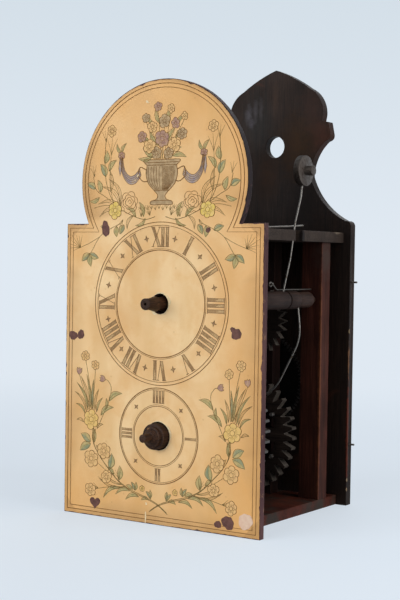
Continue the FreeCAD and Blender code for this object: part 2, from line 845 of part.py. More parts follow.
hour_tip = -hour_nose_length
tip_end = hour_tip + hour_tip_length
hour_seat_radius = hour_hub_radius - hour_seat_step
hour_nose = rod(hour_at, hour_tip, tip_end, hour_tip_radius)
hour_cone = drum(hour_at, drum_sides, (tip_end, hour_tip_radius), (y_dial_back, hour_base_radius),
                 (hour_wheel_y, hour_base_radius))
hour_pipe = hour_nose.fuse([hour_cone, stepped(hour_at, hour_wheel_y, arbor_sides,
                                               (hour_wheel_y + motion_wheel_thickness, hour_seat_radius),
                                               (y_front - end_gap, hour_hub_radius))])
stud_front = hour_tip + 2 * hour_tip_length
hour_pipe = journal(hour_pipe, hour_at, stud_front, y_front, motion_stud_radius, pivot_sides)
hour_pipe = hour_pipe.cut(bar(hour_at, hour_tip, stud_front, hour_tip_hole_radius, pivot_sides))
hour_wheel = wheel(hour, hour_at, idler_at, hour_wheel_y, motion_wheel_thickness, hour_seat_radius)
hour_stud = rod(hour_at, stud_front + end_gap, y_front + stud_depth, motion_stud_radius)

# Strike train
strike_arbor = stepped(
    strike_at, y_strike - pivot_length, arbor_sides,
    (y_strike + end_gap, pivot_radius),
    (pulley_stations(strike_wheel_y)[0] - side_gap, great_arbor_radius - great_end_step),
    (strike_wheel_y + strike_wheel_thickness, great_arbor_radius),
    (y_rear - end_gap, great_arbor_radius - great_end_step),
    (shroud_stations(count_wheel_y, motion_wheel_thickness)[0], strike_journal_radius),
    *lantern_stages(count, count_wheel_y, motion_wheel_thickness))
count_pinion_pins = lantern(count, strike_at, count_at, count_wheel_y, motion_wheel_thickness)
first_pin = math.pi / lifting_pin_count
lifting_places = [polar(strike_at, lifting_pin_circle, first_pin + 2 * math.pi * i / lifting_pin_count, 0)
                  for i in range(lifting_pin_count)]
lifting_pins = Part.makeCompound(
    [bar((p.x, p.z), strike_wheel_y - lifting_pin_length,
         strike_wheel_y + strike_wheel_thickness / 2, lifting_pin_radius, pin_sides)
     for p in lifting_places])
strike_click_pin = click_pin(strike_at, strike_wheel_y, strike_wheel_thickness)
strike_great_wheel = great_wheel(strike, strike_at, locking_at, strike_wheel_y, strike_wheel_thickness,
                                 great_arbor_radius).cut(lifting_pins)
strike_great_wheel = sleeve(strike_great_wheel, click_place(strike_at), strike_wheel_y,
                            strike_wheel_y + strike_wheel_thickness / 2, click_pin_radius, pivot_sides)

locking_arbor = pinion_arbor(locking_at, strike, strike_wheel_y, strike_wheel_thickness,
                             y_strike, y_rear)
locking_pinion_pins = lantern(strike, locking_at, strike_at, strike_wheel_y, strike_wheel_thickness)
locking_wheel = wheel(locking, locking_at, warning_at, locking_wheel_y, train_wheel_thickness,
                      arbor_radius)
cam_y = y_strike + cam_station
locking_cam = bar(locking_at, cam_y, cam_y + cam_thickness, cam_radius, drum_sides)
locking_cam = seat(locking_cam, locking_at, cam_y, cam_y + cam_thickness, arbor_radius, arbor_sides)
locking_cam = locking_cam.cut(
    box(locking_at[0] - cam_radius, locking_at[0] - cam_radius + cam_notch_depth, cam_y,
        cam_y + cam_thickness, locking_at[1], locking_at[1] + cam_notch_depth))

warning_arbor = pinion_arbor(warning_at, locking, locking_wheel_y, train_wheel_thickness,
                             y_strike, y_rear)
warning_pinion_pins = lantern(locking, warning_at, locking_at, locking_wheel_y, train_wheel_thickness)
warning_wheel = wheel(warning, warning_at, fly_at, warning_wheel_y, train_wheel_thickness, arbor_radius)
fly_arbor = pinion_arbor(fly_at, warning, warning_wheel_y, train_wheel_thickness,
                         y_strike, y_rear)
fly_pinion_pins = lantern(warning, fly_at, warning_at, warning_wheel_y, train_wheel_thickness)
fly_y = y_strike + fly_station
fly_vane = box(fly_at[0] - fly_radius, fly_at[0] + fly_radius, fly_y, fly_y + fly_length,
               fly_at[1] - fly_blade_thickness / 2, fly_at[1] + fly_blade_thickness / 2)
fly_hub = bar(fly_at, fly_y, fly_y + fly_length, arbor_radius + hub_wall, arbor_sides)
fly_vane = seat(fly_vane.fuse(fly_hub).removeSplitter(), fly_at, fly_y, fly_y + fly_length,
                arbor_radius, arbor_sides)

# Count wheel on a stud behind the rear pillar, its plate notched after each hour's blows
count_back = count_wheel_y + motion_wheel_thickness
count_wheel = pointed_plate(count, count_at, strike_at, count_wheel_y, motion_wheel_thickness)
count_wheel = journal(count_wheel, count_at, count_wheel_y, count_back, count_stud_radius, pivot_sides)
count_plate = bar(count_at, count_back, count_back + count_plate_thickness, count_plate_radius,
                  drum_sides)
blows = 0
for hours in range(1, hours_on_dial + 1):
    notch = box(count_at[0] - count_notch_width / 2, count_at[0] + count_notch_width / 2, count_back,
                count_back + count_plate_thickness,
                count_at[1] + count_plate_radius - count_notch_depth, count_at[1] + count_plate_radius)
    notch.rotate(V(count_at[0], 0, count_at[1]), V(0, 1, 0), 360 * blows / count_teeth)
    count_plate = count_plate.cut(notch)
    blows += hours
count_plate = journal(count_plate, count_at, count_back, count_back + count_plate_thickness,
                      count_stud_radius, pivot_sides)
count_stud = rod(count_at, y_count - stud_depth, count_back + count_plate_thickness + side_gap,
                 count_stud_radius)


# Hammer: arbor, stem and head, and the tail that the lifting pins push
hammer_front = front_post_back
groove_a = y_rear - far_groove_back
groove_b = y_rear - near_groove_back
hammer_arbor = stepped(
    hammer_at, hammer_front - pivot_length, drum_sides,
    (hammer_front + end_gap, pivot_radius),
    (groove_a, hammer_arbor_radius),
    (groove_a + hammer_groove_width, hammer_arbor_radius - hammer_groove_depth),
    (groove_b, hammer_arbor_radius),
    (groove_b + hammer_groove_width, hammer_arbor_radius - hammer_groove_depth),
    (y_rear - hammer_neck_length, hammer_arbor_radius - hammer_end_step),
    (y_rear - end_gap, hammer_neck_radius),
    (y_rear + pivot_length, pivot_radius))
stem_foot_y = front_post_back + stem_foot_station
stem_foot = V(hammer_offset, stem_foot_y, hammer_height)
stem_head = V(hammer_offset + stem_lean_out, stem_foot_y + stem_lean_back, hammer_height + head_rise)


def along_stem(z):
    """The stem's place at a height above the arbor."""
    return stem_foot + (stem_head - stem_foot) * ((z - hammer_height) / head_rise)


stem_points = [stem_foot, stem_head]
tail_y = strike_wheel_y - lifting_pin_length - tail_clearance - wire_radius
tail_foot = V(hammer_offset, front_post_back + tail_station, hammer_height)
tail_knee = V(strike_at[0] + tail_knee_out, (tail_foot.y + tail_y) / 2, strike_at[1] + tail_knee_rise)
tail_end = polar(strike_at, lifting_pin_circle, math.radians(tail_end_angle), tail_y)
tail_points = [tail_foot, tail_foot + V(tail_drop_out, 0, -tail_drop), tail_knee, tail_end]
hammer_stem = bent_wire(stem_points, wire_radius)
hammer_tail = bent_wire(tail_points, wire_radius)
for points in (stem_points, tail_points):
    hammer_arbor = hammer_arbor.cut(bent_wire(points, wire_radius + seat_gap))


def hammer_head_solid():
    """A turned disc across the stem, dished on its outer face, with a peg."""
    x = stem_head.x - head_thickness / 2
    face = x + head_thickness
    head = drum((0, 0), drum_sides, (x, head_radius), (face, head_radius),
                (face - head_dish_depth, head_peg_radius), (face + head_peg_length, head_peg_end_radius))
    head.rotate(V(0, 0, 0), V(0, 0, 1), -90)
    head.translate(V(0, stem_head.y, stem_head.z))
    return head.cut(bent_wire(stem_points, wire_radius + seat_gap))


hammer_head = hammer_head_solid()
stop_z = case_height + stop_rise
stem_at_stop = along_stem(stop_z)
stop_end_x = stem_at_stop.x - 2 * wire_radius - stop_clearance
stop_front_y = front_post_back + stop_foot_gap
stop_foot = V(stop_end_x - stop_lean, stop_front_y, case_height - top_board_thickness / 2)
stop_points = [stop_foot, V(stop_foot.x, stop_front_y, stop_z - stop_climb),
               V(stop_end_x, stem_at_stop.y, stop_z),
               V(stop_end_x, stop_front_y + stop_length, stop_z + stop_climb / 2)]
hammer_stop_wire = bent_wire(stop_points, wire_radius)
spring_x = hammer_offset - wire_radius - spring_radius - spring_side_gap
spring_z = hammer_height + hammer_arbor_radius + spring_radius + spring_side_gap
spring_end = V(spring_x, front_post_back + spring_end_gap, spring_z)
spring_points = [V(spring_x, y_rear + post_depth / 3, spring_z), spring_end,
                 spring_end + V(-spring_hook, -spring_hook, spring_hook / 2),
                 spring_end + V(-spring_hook * 1.5, 0, spring_hook)]
hammer_spring_wire = bent_wire(spring_points, spring_radius)


# Strike lever: one arbor with lifting, locking and counting wires
lever_arbor = stepped(
    lever_at, front_post_back - pivot_length, arbor_sides,
    (front_post_back + end_gap, pivot_radius),
    (y_rear - end_gap, lever_arbor_radius),
    (y_rear + pivot_length, pivot_radius))


def lever_foot(y):
    return V(lever_offset, y, lever_height)


lift_y = great_wheel_y + great_wheel_thickness + lift_pin_length / 2
lift_tip_r = lift_pin_circle + lift_pin_radius + wire_radius + lift_wire_gap
lift_tip = polar(going_at, lift_tip_r, math.radians(lift_tip_angle), lift_y)
lock_y = cam_y + cam_thickness / 2
lock_tip = polar(locking_at, cam_radius + wire_radius + lever_clearance, math.radians(lock_tip_angle), lock_y)
count_y = count_back + count_plate_thickness / 2
count_angle = math.radians(count_tip_angle)
count_tip = polar(count_at, count_plate_radius + wire_radius + lever_clearance, count_angle, count_y)
count_turn = polar(count_at, count.tip_r + wire_radius + 4 * lever_clearance, count_angle, count_y)
count_foot = lever_foot(y_rear - count_wire_gap)
lever_paths = [
    [lever_foot(lift_y), lift_tip + V(-lift_bend_out, 0, lift_bend_rise), lift_tip],
    [lever_foot(lock_y), lock_tip + V(-lock_bend_out, 0, lock_bend_rise), lock_tip],
    [count_foot, V(count_turn.x, count_foot.y, count_turn.z), count_turn, count_tip]]
lever_wires = Part.makeCompound([bent_wire(path, wire_radius) for path in lever_paths])
for path in lever_paths:
    lever_arbor = lever_arbor.cut(bent_wire(path, wire_radius + seat_gap))


# Pivot holes in the pillars and posts, and the slots and holes of the boards
hole_depth = pivot_length + end_gap
posts = {name: upright.solid() for name, upright in uprights.items()}


def pivot_holes(name, y_face, inward, places):
    """Blind pivot holes in a post or pillar, from the face at y_face, going in along Y."""
    y0, y1 = sorted((y_face, y_face + inward * hole_depth))
    for at in places:
        posts[name] = journal(posts[name], at, y0, y1, pivot_radius, pivot_sides)


pillar = journal(posts["front_pillar"], going_at, y_front, y_going, quarter_journal_radius, arbor_sides)
pillar = sleeve(pillar, idler_at, y_front, y_front + stud_depth, idler_stud_radius, pivot_sides)
pillar = sleeve(pillar, hour_at, y_front, y_front + stud_depth, motion_stud_radius, pivot_sides)
posts["front_pillar"] = pillar
posts["middle_pillar"] = posts["middle_pillar"].cut(
    bar(anchor_at, y_middle, y_strike, anchor_arbor_radius + anchor_pass_gap, arbor_sides))
pillar = journal(posts["rear_pillar"], anchor_at, y_rear, y_count, anchor_journal_radius, arbor_sides)
pillar = journal(pillar, strike_at, y_rear, y_count, strike_journal_radius, arbor_sides)
posts["rear_pillar"] = sleeve(pillar, count_at, y_count - stud_depth, y_count, count_stud_radius, pivot_sides)
pivot_holes("front_pillar", y_going, -1, (second_at, escape_at, anchor_at))
pivot_holes("middle_pillar", y_middle, 1, (going_at, second_at, escape_at))
pivot_holes("middle_pillar", y_strike, -1, (strike_at, locking_at, warning_at, fly_at))
pivot_holes("rear_pillar", y_rear, 1, (locking_at, warning_at, fly_at))
pivot_holes("front_right_post", front_post_back, -1, [hammer_at])
pivot_holes("rear_right_post", y_rear, 1, [hammer_at])
pivot_holes("front_left_post", front_post_back, -1, [lever_at])
pivot_holes("rear_left_post", y_rear, 1, [lever_at])
posts["rear_right_post"] = posts["rear_right_post"].cut(bent_wire(spring_points, spring_radius + seat_gap))

notch_y = along_stem(case_height).y - notch_length / 2
top_board = case_board(top_board_bottom, case_height, top_board_overhang)
top_board = top_board.cut(
    box(half_case - notch_depth, half_case + top_board_overhang, notch_y, notch_y + notch_length,
        top_board_bottom, case_height))
top_board = top_board.cut(bent_wire(stop_points, wire_radius + seat_gap))
bottom_board = case_board(0, bottom_board_thickness, 0)
for wheel_y in (great_wheel_y, strike_wheel_y):
    middle = groove_middle(wheel_y)
    bottom_board = bottom_board.cut(
        box(-rope_slot_length / 2, rope_slot_length / 2, middle - rope_slot_width / 2,
            middle + rope_slot_width / 2, 0, bottom_board_thickness))
bottom_board = bottom_board.cut(
    box(-pendulum_slot_length / 2, pendulum_slot_length / 2, y_back - pendulum_slot_width, y_back,
        0, bottom_board_thickness))


pieces = {
    "dial_board": dial_plate(),
    "backboard": backboard,
    "door_hinge_wires": hinge_wires(0),
    "top_board": top_board,
    "bottom_board": bottom_board,
    **posts,
    "going_arbor": going_arbor,
    "going_great_wheel": going_great_wheel,
    "going_wire_pins": Part.makeCompound(going_pins.Solids + motion_pinion_pins.Solids),
    "going_pulley": pulley(going_at, great_wheel_y),
    "going_click": click(going_at, great_wheel_y),
    "second_arbor": second_arbor,
    "second_pinion_pins": second_pinion_pins,
    "second_wheel": second_wheel,
    "escape_arbor": escape_arbor,
    "escape_pinion_pins": escape_pinion_pins,
    "escape_wheel": escape_wheel,
    "anchor_arbor": anchor_arbor,
    "anchor": anchor_plate(),
    "crutch": crutch,
    "idler_barrel": idler_barrel,
    "idler_pins": idler_pins,
    "idler_wheel": idler_wheel,
    "pillar_studs": Part.makeCompound([idler_stud, hour_stud, count_stud]),
    "hour_pipe": hour_pipe,
    "hour_wheel": hour_wheel,
    "strike_arbor": strike_arbor,
    "strike_great_wheel": strike_great_wheel,
    "strike_wire_pins": Part.makeCompound(
        lifting_pins.Solids + [strike_click_pin] + count_pinion_pins.Solids),
    "strike_pulley": pulley(strike_at, strike_wheel_y),
    "strike_click": click(strike_at, strike_wheel_y),
    "locking_arbor": locking_arbor,
    "locking_pinion_pins": locking_pinion_pins,
    "locking_wheel": locking_wheel,
    "locking_cam": locking_cam,
    "warning_arbor": warning_arbor,
    "warning_pinion_pins": warning_pinion_pins,
    "warning_wheel": warning_wheel,
    "fly_arbor": fly_arbor,
    "fly_pinion_pins": fly_pinion_pins,
    "fly_vane": fly_vane,
    "count_wheel": count_wheel,
    "count_plate": count_plate,
    "hammer_arbor": hammer_arbor,
    "hammer_stem": hammer_stem,
    "hammer_head": hammer_head,
    "hammer_tail": hammer_tail,
    "hammer_stop_wire": hammer_stop_wire,
    "hammer_spring_wire": hammer_spring_wire,
    "lever_arbor": lever_arbor,
    "lever_wires": lever_wires,
}

os.makedirs("parts", exist_ok=True)
for piece_name, piece_shape in pieces.items():
    save(piece_name, piece_shape)
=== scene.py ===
import json
import math
import random

import bmesh
import bpy
from mathutils import Matrix, Vector


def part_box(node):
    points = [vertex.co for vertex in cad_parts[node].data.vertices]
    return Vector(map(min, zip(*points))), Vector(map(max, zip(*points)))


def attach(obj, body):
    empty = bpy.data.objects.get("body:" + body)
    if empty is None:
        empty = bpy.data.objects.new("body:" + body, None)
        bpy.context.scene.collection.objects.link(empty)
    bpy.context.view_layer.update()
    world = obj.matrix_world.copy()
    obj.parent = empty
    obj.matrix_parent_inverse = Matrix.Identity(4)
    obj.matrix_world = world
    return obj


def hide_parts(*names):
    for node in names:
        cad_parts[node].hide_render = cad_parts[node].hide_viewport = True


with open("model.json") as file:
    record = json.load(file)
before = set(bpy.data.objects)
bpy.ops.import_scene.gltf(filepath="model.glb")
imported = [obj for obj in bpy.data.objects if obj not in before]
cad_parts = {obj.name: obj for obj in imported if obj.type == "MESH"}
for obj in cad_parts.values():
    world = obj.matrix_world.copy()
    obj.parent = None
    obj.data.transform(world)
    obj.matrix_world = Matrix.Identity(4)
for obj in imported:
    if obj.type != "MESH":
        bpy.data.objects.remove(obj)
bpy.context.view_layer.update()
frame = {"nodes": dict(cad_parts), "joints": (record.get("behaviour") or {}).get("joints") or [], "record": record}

MM = 0.001

# The maker's measure: millimetres to the right of the dial's middle, back from its face, up from the base
dial_low, dial_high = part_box("dial_board")
middle_x = (dial_low.x + dial_high.x) / 2
face_y = dial_low.y
base_z = dial_low.z

# The body that carries each node, and the point that each moving body turns about
body_of = {node: body for body, nodes in frame["record"]["behaviour"]["bodies"].items() for node in nodes}
axis_of = {joint["child"]: Vector(joint["pos_m"]) for joint in frame["joints"]}

# Dial: outline, ring centres, holes and the sheet on its face
dial_width = 180.0
shoulder_height = 226.0
neck_half = 69.0
arch_radius = 76.0
arch_centre = 257.5
hour_centre = (0.0, 166.0)
quarter_centre = (0.0, 67.0)
hour_hole = 7.75
quarter_hole = 10.75
paper_thickness = 0.25

# Backboard: its front and rear faces and its right edge
back_front = 160.3
back_rear = 168.3
back_right = 75.3

# Wires, nails and worn corners
wire_radius = 0.7
spring_radius = 0.6
crutch_radius = 1.0
nail_radius = 1.7
edge_wear = 0.5
post_wear = 0.9
dial_wear = 0.4
tooth_wear = 0.32
turned_wear = 0.12

# Angles in degrees: sharper corners than these are rounded, and sharper creases than these stay crisp
worn_corner = 28
turned_corner = 35
worn_crease = 24
round_crease = 40
wire_crease = 50


def place(x, y, z):
    """A point of the maker's measure in the shared frame, in metres."""
    return Vector((middle_x + x * MM, face_y + y * MM, base_z + z * MM))


# Finishes: one function adds a node, one lays a tone over another, and each finish has its own function
grain_stretch = 28.0
spot_reach = 1.75
spot_crumble = 1.8


def colour(code):
    """An sRGB hex value as linear RGBA."""
    parts = [int(code[i:i + 2], 16) / 255 for i in (1, 3, 5)]
    return tuple(c / 12.92 if c <= 0.04045 else ((c + 0.055) / 1.055) ** 2.4 for c in parts) + (1.0,)


def per(size):
    """A pattern's scale for features so many millimetres wide."""
    return 1 / (size * MM)


def add(tree, kind, inputs=None, out=0, **settings):
    """Adds a node with its settings, values and links, and gives back one of its outputs."""
    node = tree.nodes.new(kind)
    for name, value in settings.items():
        setattr(node, name, value)
    for key, value in (inputs or {}).items():
        if isinstance(value, bpy.types.NodeSocket):
            tree.links.new(value, node.inputs[key])
        else:
            node.inputs[key].default_value = value
    return node.outputs[out] if len(node.outputs) else None


def tinted(tree, base, tone, value, begin, full, share=1.0):
    """A tone laid over a base, from none of it where a value is at begin to its whole share at full."""
    mask = add(tree, "ShaderNodeMapRange", {"Value": value, "From Min": begin, "From Max": full,
                                            "To Max": share})
    return add(tree, "ShaderNodeMix", {0: mask, 6: base, 7: colour(tone)}, 2, data_type="RGBA")


def start_finish(name, roughness, metallic=0.0, specular=0.5):
    """Starts a material with its constants set; gives back its tree, shader and place on the piece too."""
    material = bpy.data.materials.new(name)
    material.use_nodes = True
    tree = material.node_tree
    shader = tree.nodes["Principled BSDF"]
    for socket, value in (("Roughness", roughness), ("Metallic", metallic), ("Specular IOR Level", specular)):
        shader.inputs[socket].default_value = value
    return material, tree, shader, add(tree, "ShaderNodeTexCoord", out="Object")


def end_finish(tree, shader, **sources):
    """Links what the nodes give to the shader's sockets."""
    for socket, source in sources.items():
        tree.links.new(source, shader.inputs[socket.replace("_", " ")])


def stained_wood(name, dark, middle, light, along, rough=(0.5, 0.7), fine_mm=0.9, band_mm=7.0,
                 patch=None, patch_share=0.5, worn=None, worn_share=0.5, spots=(), gloss=0.11):
    """Softwood planed by hand and stained: dark late-wood lines run along the grain, with broad soft bands,
    cloudy stain and open pores. The lines are drawn a little coarser than real ones, so that they show.
    A worn version shows bare pale wood where the stain has rubbed off. Each spot (point, radius in mm,
    upward stretch, colour, softness) is a knock, chip, rubbed patch, nail stain or patch of painted shade."""
    material, tree, shader, spot = start_finish(name, rough[0], specular=gloss)
    stretch = [1.0] * 3
    stretch["XYZ".index(along)] = 1 / grain_stretch
    grain = add(tree, "ShaderNodeMapping", {"Vector": spot, "Scale": stretch})
    fine = add(tree, "ShaderNodeTexNoise", {"Vector": grain, "Scale": per(fine_mm), "Detail": 5.0,
                                            "Roughness": 0.6})
    bands = add(tree, "ShaderNodeTexNoise", {"Vector": grain, "Scale": per(band_mm), "Detail": 2.0,
                                             "Distortion": 0.6})
    cloud = add(tree, "ShaderNodeTexNoise", {"Vector": spot, "Scale": per(45), "Detail": 4.0})
    base = tinted(tree, colour(dark), middle, bands, 0.35, 0.65)
    base = tinted(tree, base, light, fine, 0.42, 0.72)
    base = tinted(tree, base, dark, cloud, 0.40, 0.68, 0.75)
    if patch:
        clumps = add(tree, "ShaderNodeTexNoise", {"Vector": spot, "Scale": per(28), "Detail": 3.0,
                                                  "Distortion": 0.8})
        base = tinted(tree, base, patch, clumps, 1.02 - patch_share, 1.14 - patch_share, 0.8)
    if worn:
        rub = add(tree, "ShaderNodeTexNoise", {"Vector": spot, "Scale": per(9), "Detail": 5.0,
                                               "Roughness": 0.7})
        base = tinted(tree, base, worn, rub, 1.0 - worn_share, 1.08 - worn_share)
    crumble = add(tree, "ShaderNodeTexNoise", {"Vector": spot, "Scale": per(4), "Detail": 4.0})
    for point, radius, upward, tone, soft in spots:
        squeeze = Vector((1, 1, 1 / upward))
        near = add(tree, "ShaderNodeVectorMath", {0: spot, 1: squeeze}, operation="MULTIPLY")
        gap = add(tree, "ShaderNodeVectorMath", {0: near, 1: place(*point) * squeeze}, "Value",
                  operation="DISTANCE")
        edge = add(tree, "ShaderNodeMath", {0: crumble, 1: spot_crumble * radius * MM, 2: gap},
                   operation="MULTIPLY_ADD")
        base = tinted(tree, base, tone, edge, (spot_reach + soft) * radius * MM,
                      (spot_reach - soft) * radius * MM)
    shine = add(tree, "ShaderNodeMapRange", {"Value": cloud, "From Min": 0.3, "From Max": 0.7,
                                             "To Min": rough[0], "To Max": rough[1]})
    relief = add(tree, "ShaderNodeBump", {"Height": fine, "Strength": 0.35, "Distance": 0.25 * MM})
    end_finish(tree, shader, Base_Color=base, Roughness=shine, Normal=relief)
    return material


def printed_paper(name):
    """Engraved sheet glued to the dial and varnished: warm yellow-brown, blotched, run and mottled by old
    varnish and glue, tanned outwards, dirtier along its edges, with a low satin shine. The tooth of its
    fibre is drawn coarser than the real one, so that it shows."""
    material, tree, shader, spot = start_finish(name, 0.5, specular=0.25)
    pale_middle = (middle_x - 0.012, base_z + 0.15)
    pale_reach = (0.095, 0.18)
    blotch = add(tree, "ShaderNodeTexNoise", {"Vector": spot, "Scale": per(55), "Detail": 3.0,
                                              "Distortion": 0.5})
    drips = add(tree, "ShaderNodeMapping", {"Vector": spot, "Scale": (per(30), 1.0, per(160))})
    runs = add(tree, "ShaderNodeTexNoise", {"Vector": drips, "Scale": 1.0, "Detail": 4.0})
    fibre = add(tree, "ShaderNodeTexNoise", {"Vector": spot, "Scale": per(1.6), "Detail": 3.0})
    foxing = add(tree, "ShaderNodeTexVoronoi", {"Vector": spot, "Scale": per(11)})
    mottle = add(tree, "ShaderNodeTexNoise", {"Vector": spot, "Scale": per(16), "Detail": 5.0,
                                              "Roughness": 0.65, "Distortion": 0.4})
    reach = add(tree, "ShaderNodeMapping", {
        "Vector": spot, "Scale": (1 / pale_reach[0], 0, 1 / pale_reach[1]),
        "Location": (-pale_middle[0] / pale_reach[0], 0, -pale_middle[1] / pale_reach[1])})
    outward = add(tree, "ShaderNodeVectorMath", {0: reach}, "Value", operation="LENGTH")
    soil = add(tree, "ShaderNodeAttribute", out="Fac", attribute_name="soil")
    uneven = add(tree, "ShaderNodeMapRange", {"Value": blotch, "From Min": 0.3, "From Max": 0.7,
                                              "To Min": 0.4})
    dirt = add(tree, "ShaderNodeMath", {0: soil, 1: uneven}, operation="MULTIPLY", use_clamp=True)
    base = tinted(tree, colour("#F1D09D"), "#E2B67E", blotch, 0.36, 0.66)
    base = tinted(tree, base, "#E2AD6B", outward, 0.45, 1.15)
    base = tinted(tree, base, "#D4A768", runs, 0.46, 0.70, 0.5)
    base = tinted(tree, base, "#DDA35C", mottle, 0.46, 0.74, 0.4)
    base = tinted(tree, base, "#B98A52", foxing, 0.09, 0.03, 0.35)
    base = tinted(tree, base, "#9A7346", dirt, 0.0, 1.0)
    shine = add(tree, "ShaderNodeMapRange", {"Value": blotch, "To Min": 0.42, "To Max": 0.62})
    relief = add(tree, "ShaderNodeBump", {"Height": fibre, "Strength": 0.12, "Distance": 0.1 * MM})
    end_finish(tree, shader, Base_Color=base, Roughness=shine, Normal=relief)
    return material


def colour_wash(name, thin, full, pool_mm):
    """Water colour or ink on paper: it pools darker and thins out, so its tone wanders over each shape."""
    material, tree, shader, spot = start_finish(name, 0.6, specular=0.15)
    pool = add(tree, "ShaderNodeTexNoise", {"Vector": spot, "Scale": per(pool_mm), "Detail": 3.0})
    end_finish(tree, shader, Base_Color=tinted(tree, colour(thin), full, pool, 0.35, 0.65))
    return material


def drawn_wire(name, bright, dull, rust, rust_share):
    """Iron wire drawn and left bare: grey with a soft metal shine, dulled and freckled with brown rust. The
    freckles are drawn coarser than real ones, so that they show."""
    material, tree, shader, spot = start_finish(name, 0.42, metallic=0.85)
    film = add(tree, "ShaderNodeTexNoise", {"Vector": spot, "Scale": per(6), "Detail": 4.0})
    freckle = add(tree, "ShaderNodeTexNoise", {"Vector": spot, "Scale": per(2.2), "Detail": 4.0})
    base = tinted(tree, colour(bright), dull, film, 0.0, 1.0)
    base = tinted(tree, base, rust, freckle, 1.0 - rust_share, 1.12 - rust_share)
    shine = add(tree, "ShaderNodeMapRange", {"Value": freckle, "From Min": 0.3, "From Max": 0.7,
                                             "To Min": 0.34, "To Max": 0.7})
    end_finish(tree, shader, Base_Color=base, Roughness=shine)
    return material


# Marks on the backboard: rubbed patches and scuffs in front, knocks and chips on its right edge, nails behind
front_marks = [((x, back_front, z), *mark) for x, z, *mark in (
    (50, 300, 11, 1.3, "#3A2117", 0.8), (38, 325, 9, 1.8, "#2E1D17", 0.8),
    (30, 245, 24, 1.6, "#17100E", 0.8), (24, 296, 13, 1.5, "#33200F", 0.9),
    (-4, 271, 9, 1.8, "#2C1B10", 0.9), (-16, 318, 11, 1.5, "#24211F", 0.9),
    (-24, 323, 2.6, 2.6, "#4A464A", 0.8), (-17.5, 326, 2.0, 4.0, "#403B3D", 0.8),
    (-12, 328, 1.6, 5.0, "#3A3536", 0.8), (-21, 316, 2.0, 1.6, "#454146", 0.8),
    (2, 336, 2.6, 5.0, "#33241C", 0.8))]
edge_marks = [((back_right, y, z), *mark) for y, z, *mark in (
    (161, 60, 1.6, 26, "#57281B", 0.3), (161, 118, 1.0, 14, "#6B4A33", 0.3),
    (161.4, 21, 1.2, 1.4, "#8E7A60", 0.2), (161.2, 13, 1.0, 1.6, "#8A745A", 0.2),
    (161, 143, 0.9, 3.0, "#7A684F", 0.2))]
nail_marks = [((x, back_rear, z), radius, 1.0, tone, 0.2) for x in (-56, 58) for z in (6, 70, 150, 217)
              for radius, tone in ((2.4, "#2B1A12"), (1.2, "#4A4440"))]

# Woods of the case
back_stain = stained_wood("black_stained_spruce", "#140F0D", "#251812", "#34261F", "Z",
                          patch="#40241A", patch_share=0.42, spots=front_marks + edge_marks + nail_marks)
back_edge = stained_wood("black_stained_spruce_worn_edge", "#1A1412", "#2A1E1A", "#3A2A22", "Z",
                         worn="#7A5C40", worn_share=0.36)
post_stain = stained_wood("red_brown_stained_post", "#27130E", "#432119", "#583024", "Z", spots=[
    ((66, 137, 203), 9, 1.5, "#3C2D27", 0.6), ((66, 129.4, 105), 1.7, 56, "#673C26", 0.4)])
post_edge = stained_wood("red_brown_post_worn_edge", "#4A2A1C", "#63391F", "#754A2C", "Z",
                         worn="#96683E", worn_share=0.50)
pillar_stain = stained_wood("dark_oiled_pillar", "#150C09", "#22120E", "#311B14", "Z")
board_stain = stained_wood("grey_brown_stained_board", "#241C18", "#382D26", "#4A3D34", "X", spots=[
    ((69, 149, 223.4), 6.0, 0.22, "#6A5D50", 0.5), ((69, 92, 219), 4, 1.4, "#17110F", 0.3)])
board_edge = stained_wood("grey_brown_board_worn_edge", "#362B25", "#54463C", "#6A5A4C", "X",
                          worn="#94806A", worn_share=0.46)
# The large dark spot over the middle of the board's top, inside the case, is painted shade under the works
base_stain = stained_wood("base_red_brown_stain_and_painted_inner_shade", "#2A120C", "#4C2016", "#62301F", "X",
                          patch="#2E2B25", patch_share=0.54, spots=[((5, 90, 8), 34, 1.0, "#150F0B", 0.5)])
base_edge = stained_wood("red_brown_base_worn_edge", "#43241A", "#643622", "#7C4A2F", "X",
                         worn="#9A6E44", worn_share=0.42)
dial_rim = stained_wood("dial_board_painted_rim", "#452C2C", "#5A3C3B", "#6E4E48", "Z",
                        worn="#9A7854", worn_share=0.44)
# The dark spot on the side round the arch is painted shade; the rest is the board's purple-brown paint and its
# wear
dial_side = stained_wood("dial_side_purple_brown_paint_and_painted_arch_shade", "#3E292B", "#563A3B", "#6B4B47", "Z",
                         worn="#8A6A52", worn_share=0.40, spots=[((62, 6, 275), 62, 1.0, "#221A1B", 0.3)])
dial_back = stained_wood("bare_pine_dial_back", "#3E2B1C", "#5C4329", "#725536", "Z",
                         patch="#4A3826", patch_share=0.45)

# Woods of the wheels and arbors, then iron and paper
wheel_wood = stained_wood("oiled_pear_wheel", "#18120F", "#281F1A", "#392E27", "X", fine_mm=0.7)
# Worn tooth corners: pale enough to be partly wear and partly a painted glint
wheel_edge = stained_wood("oiled_pear_wheel_tooth_wear_and_painted_glint", "#5A4E45", "#7C6F64", "#948779", "X", (0.42, 0.6),
                          worn="#AC9F8E", worn_share=0.50)
# Tooth flanks: a lighter tone than the wheel's faces, a painted highlight, on a glossier finish
tooth_flank = stained_wood("pear_tooth_flank_gloss_and_painted_highlight", "#302A25", "#4C453F", "#6A635B", "X",
                           (0.28, 0.42), fine_mm=0.7, gloss=0.45)
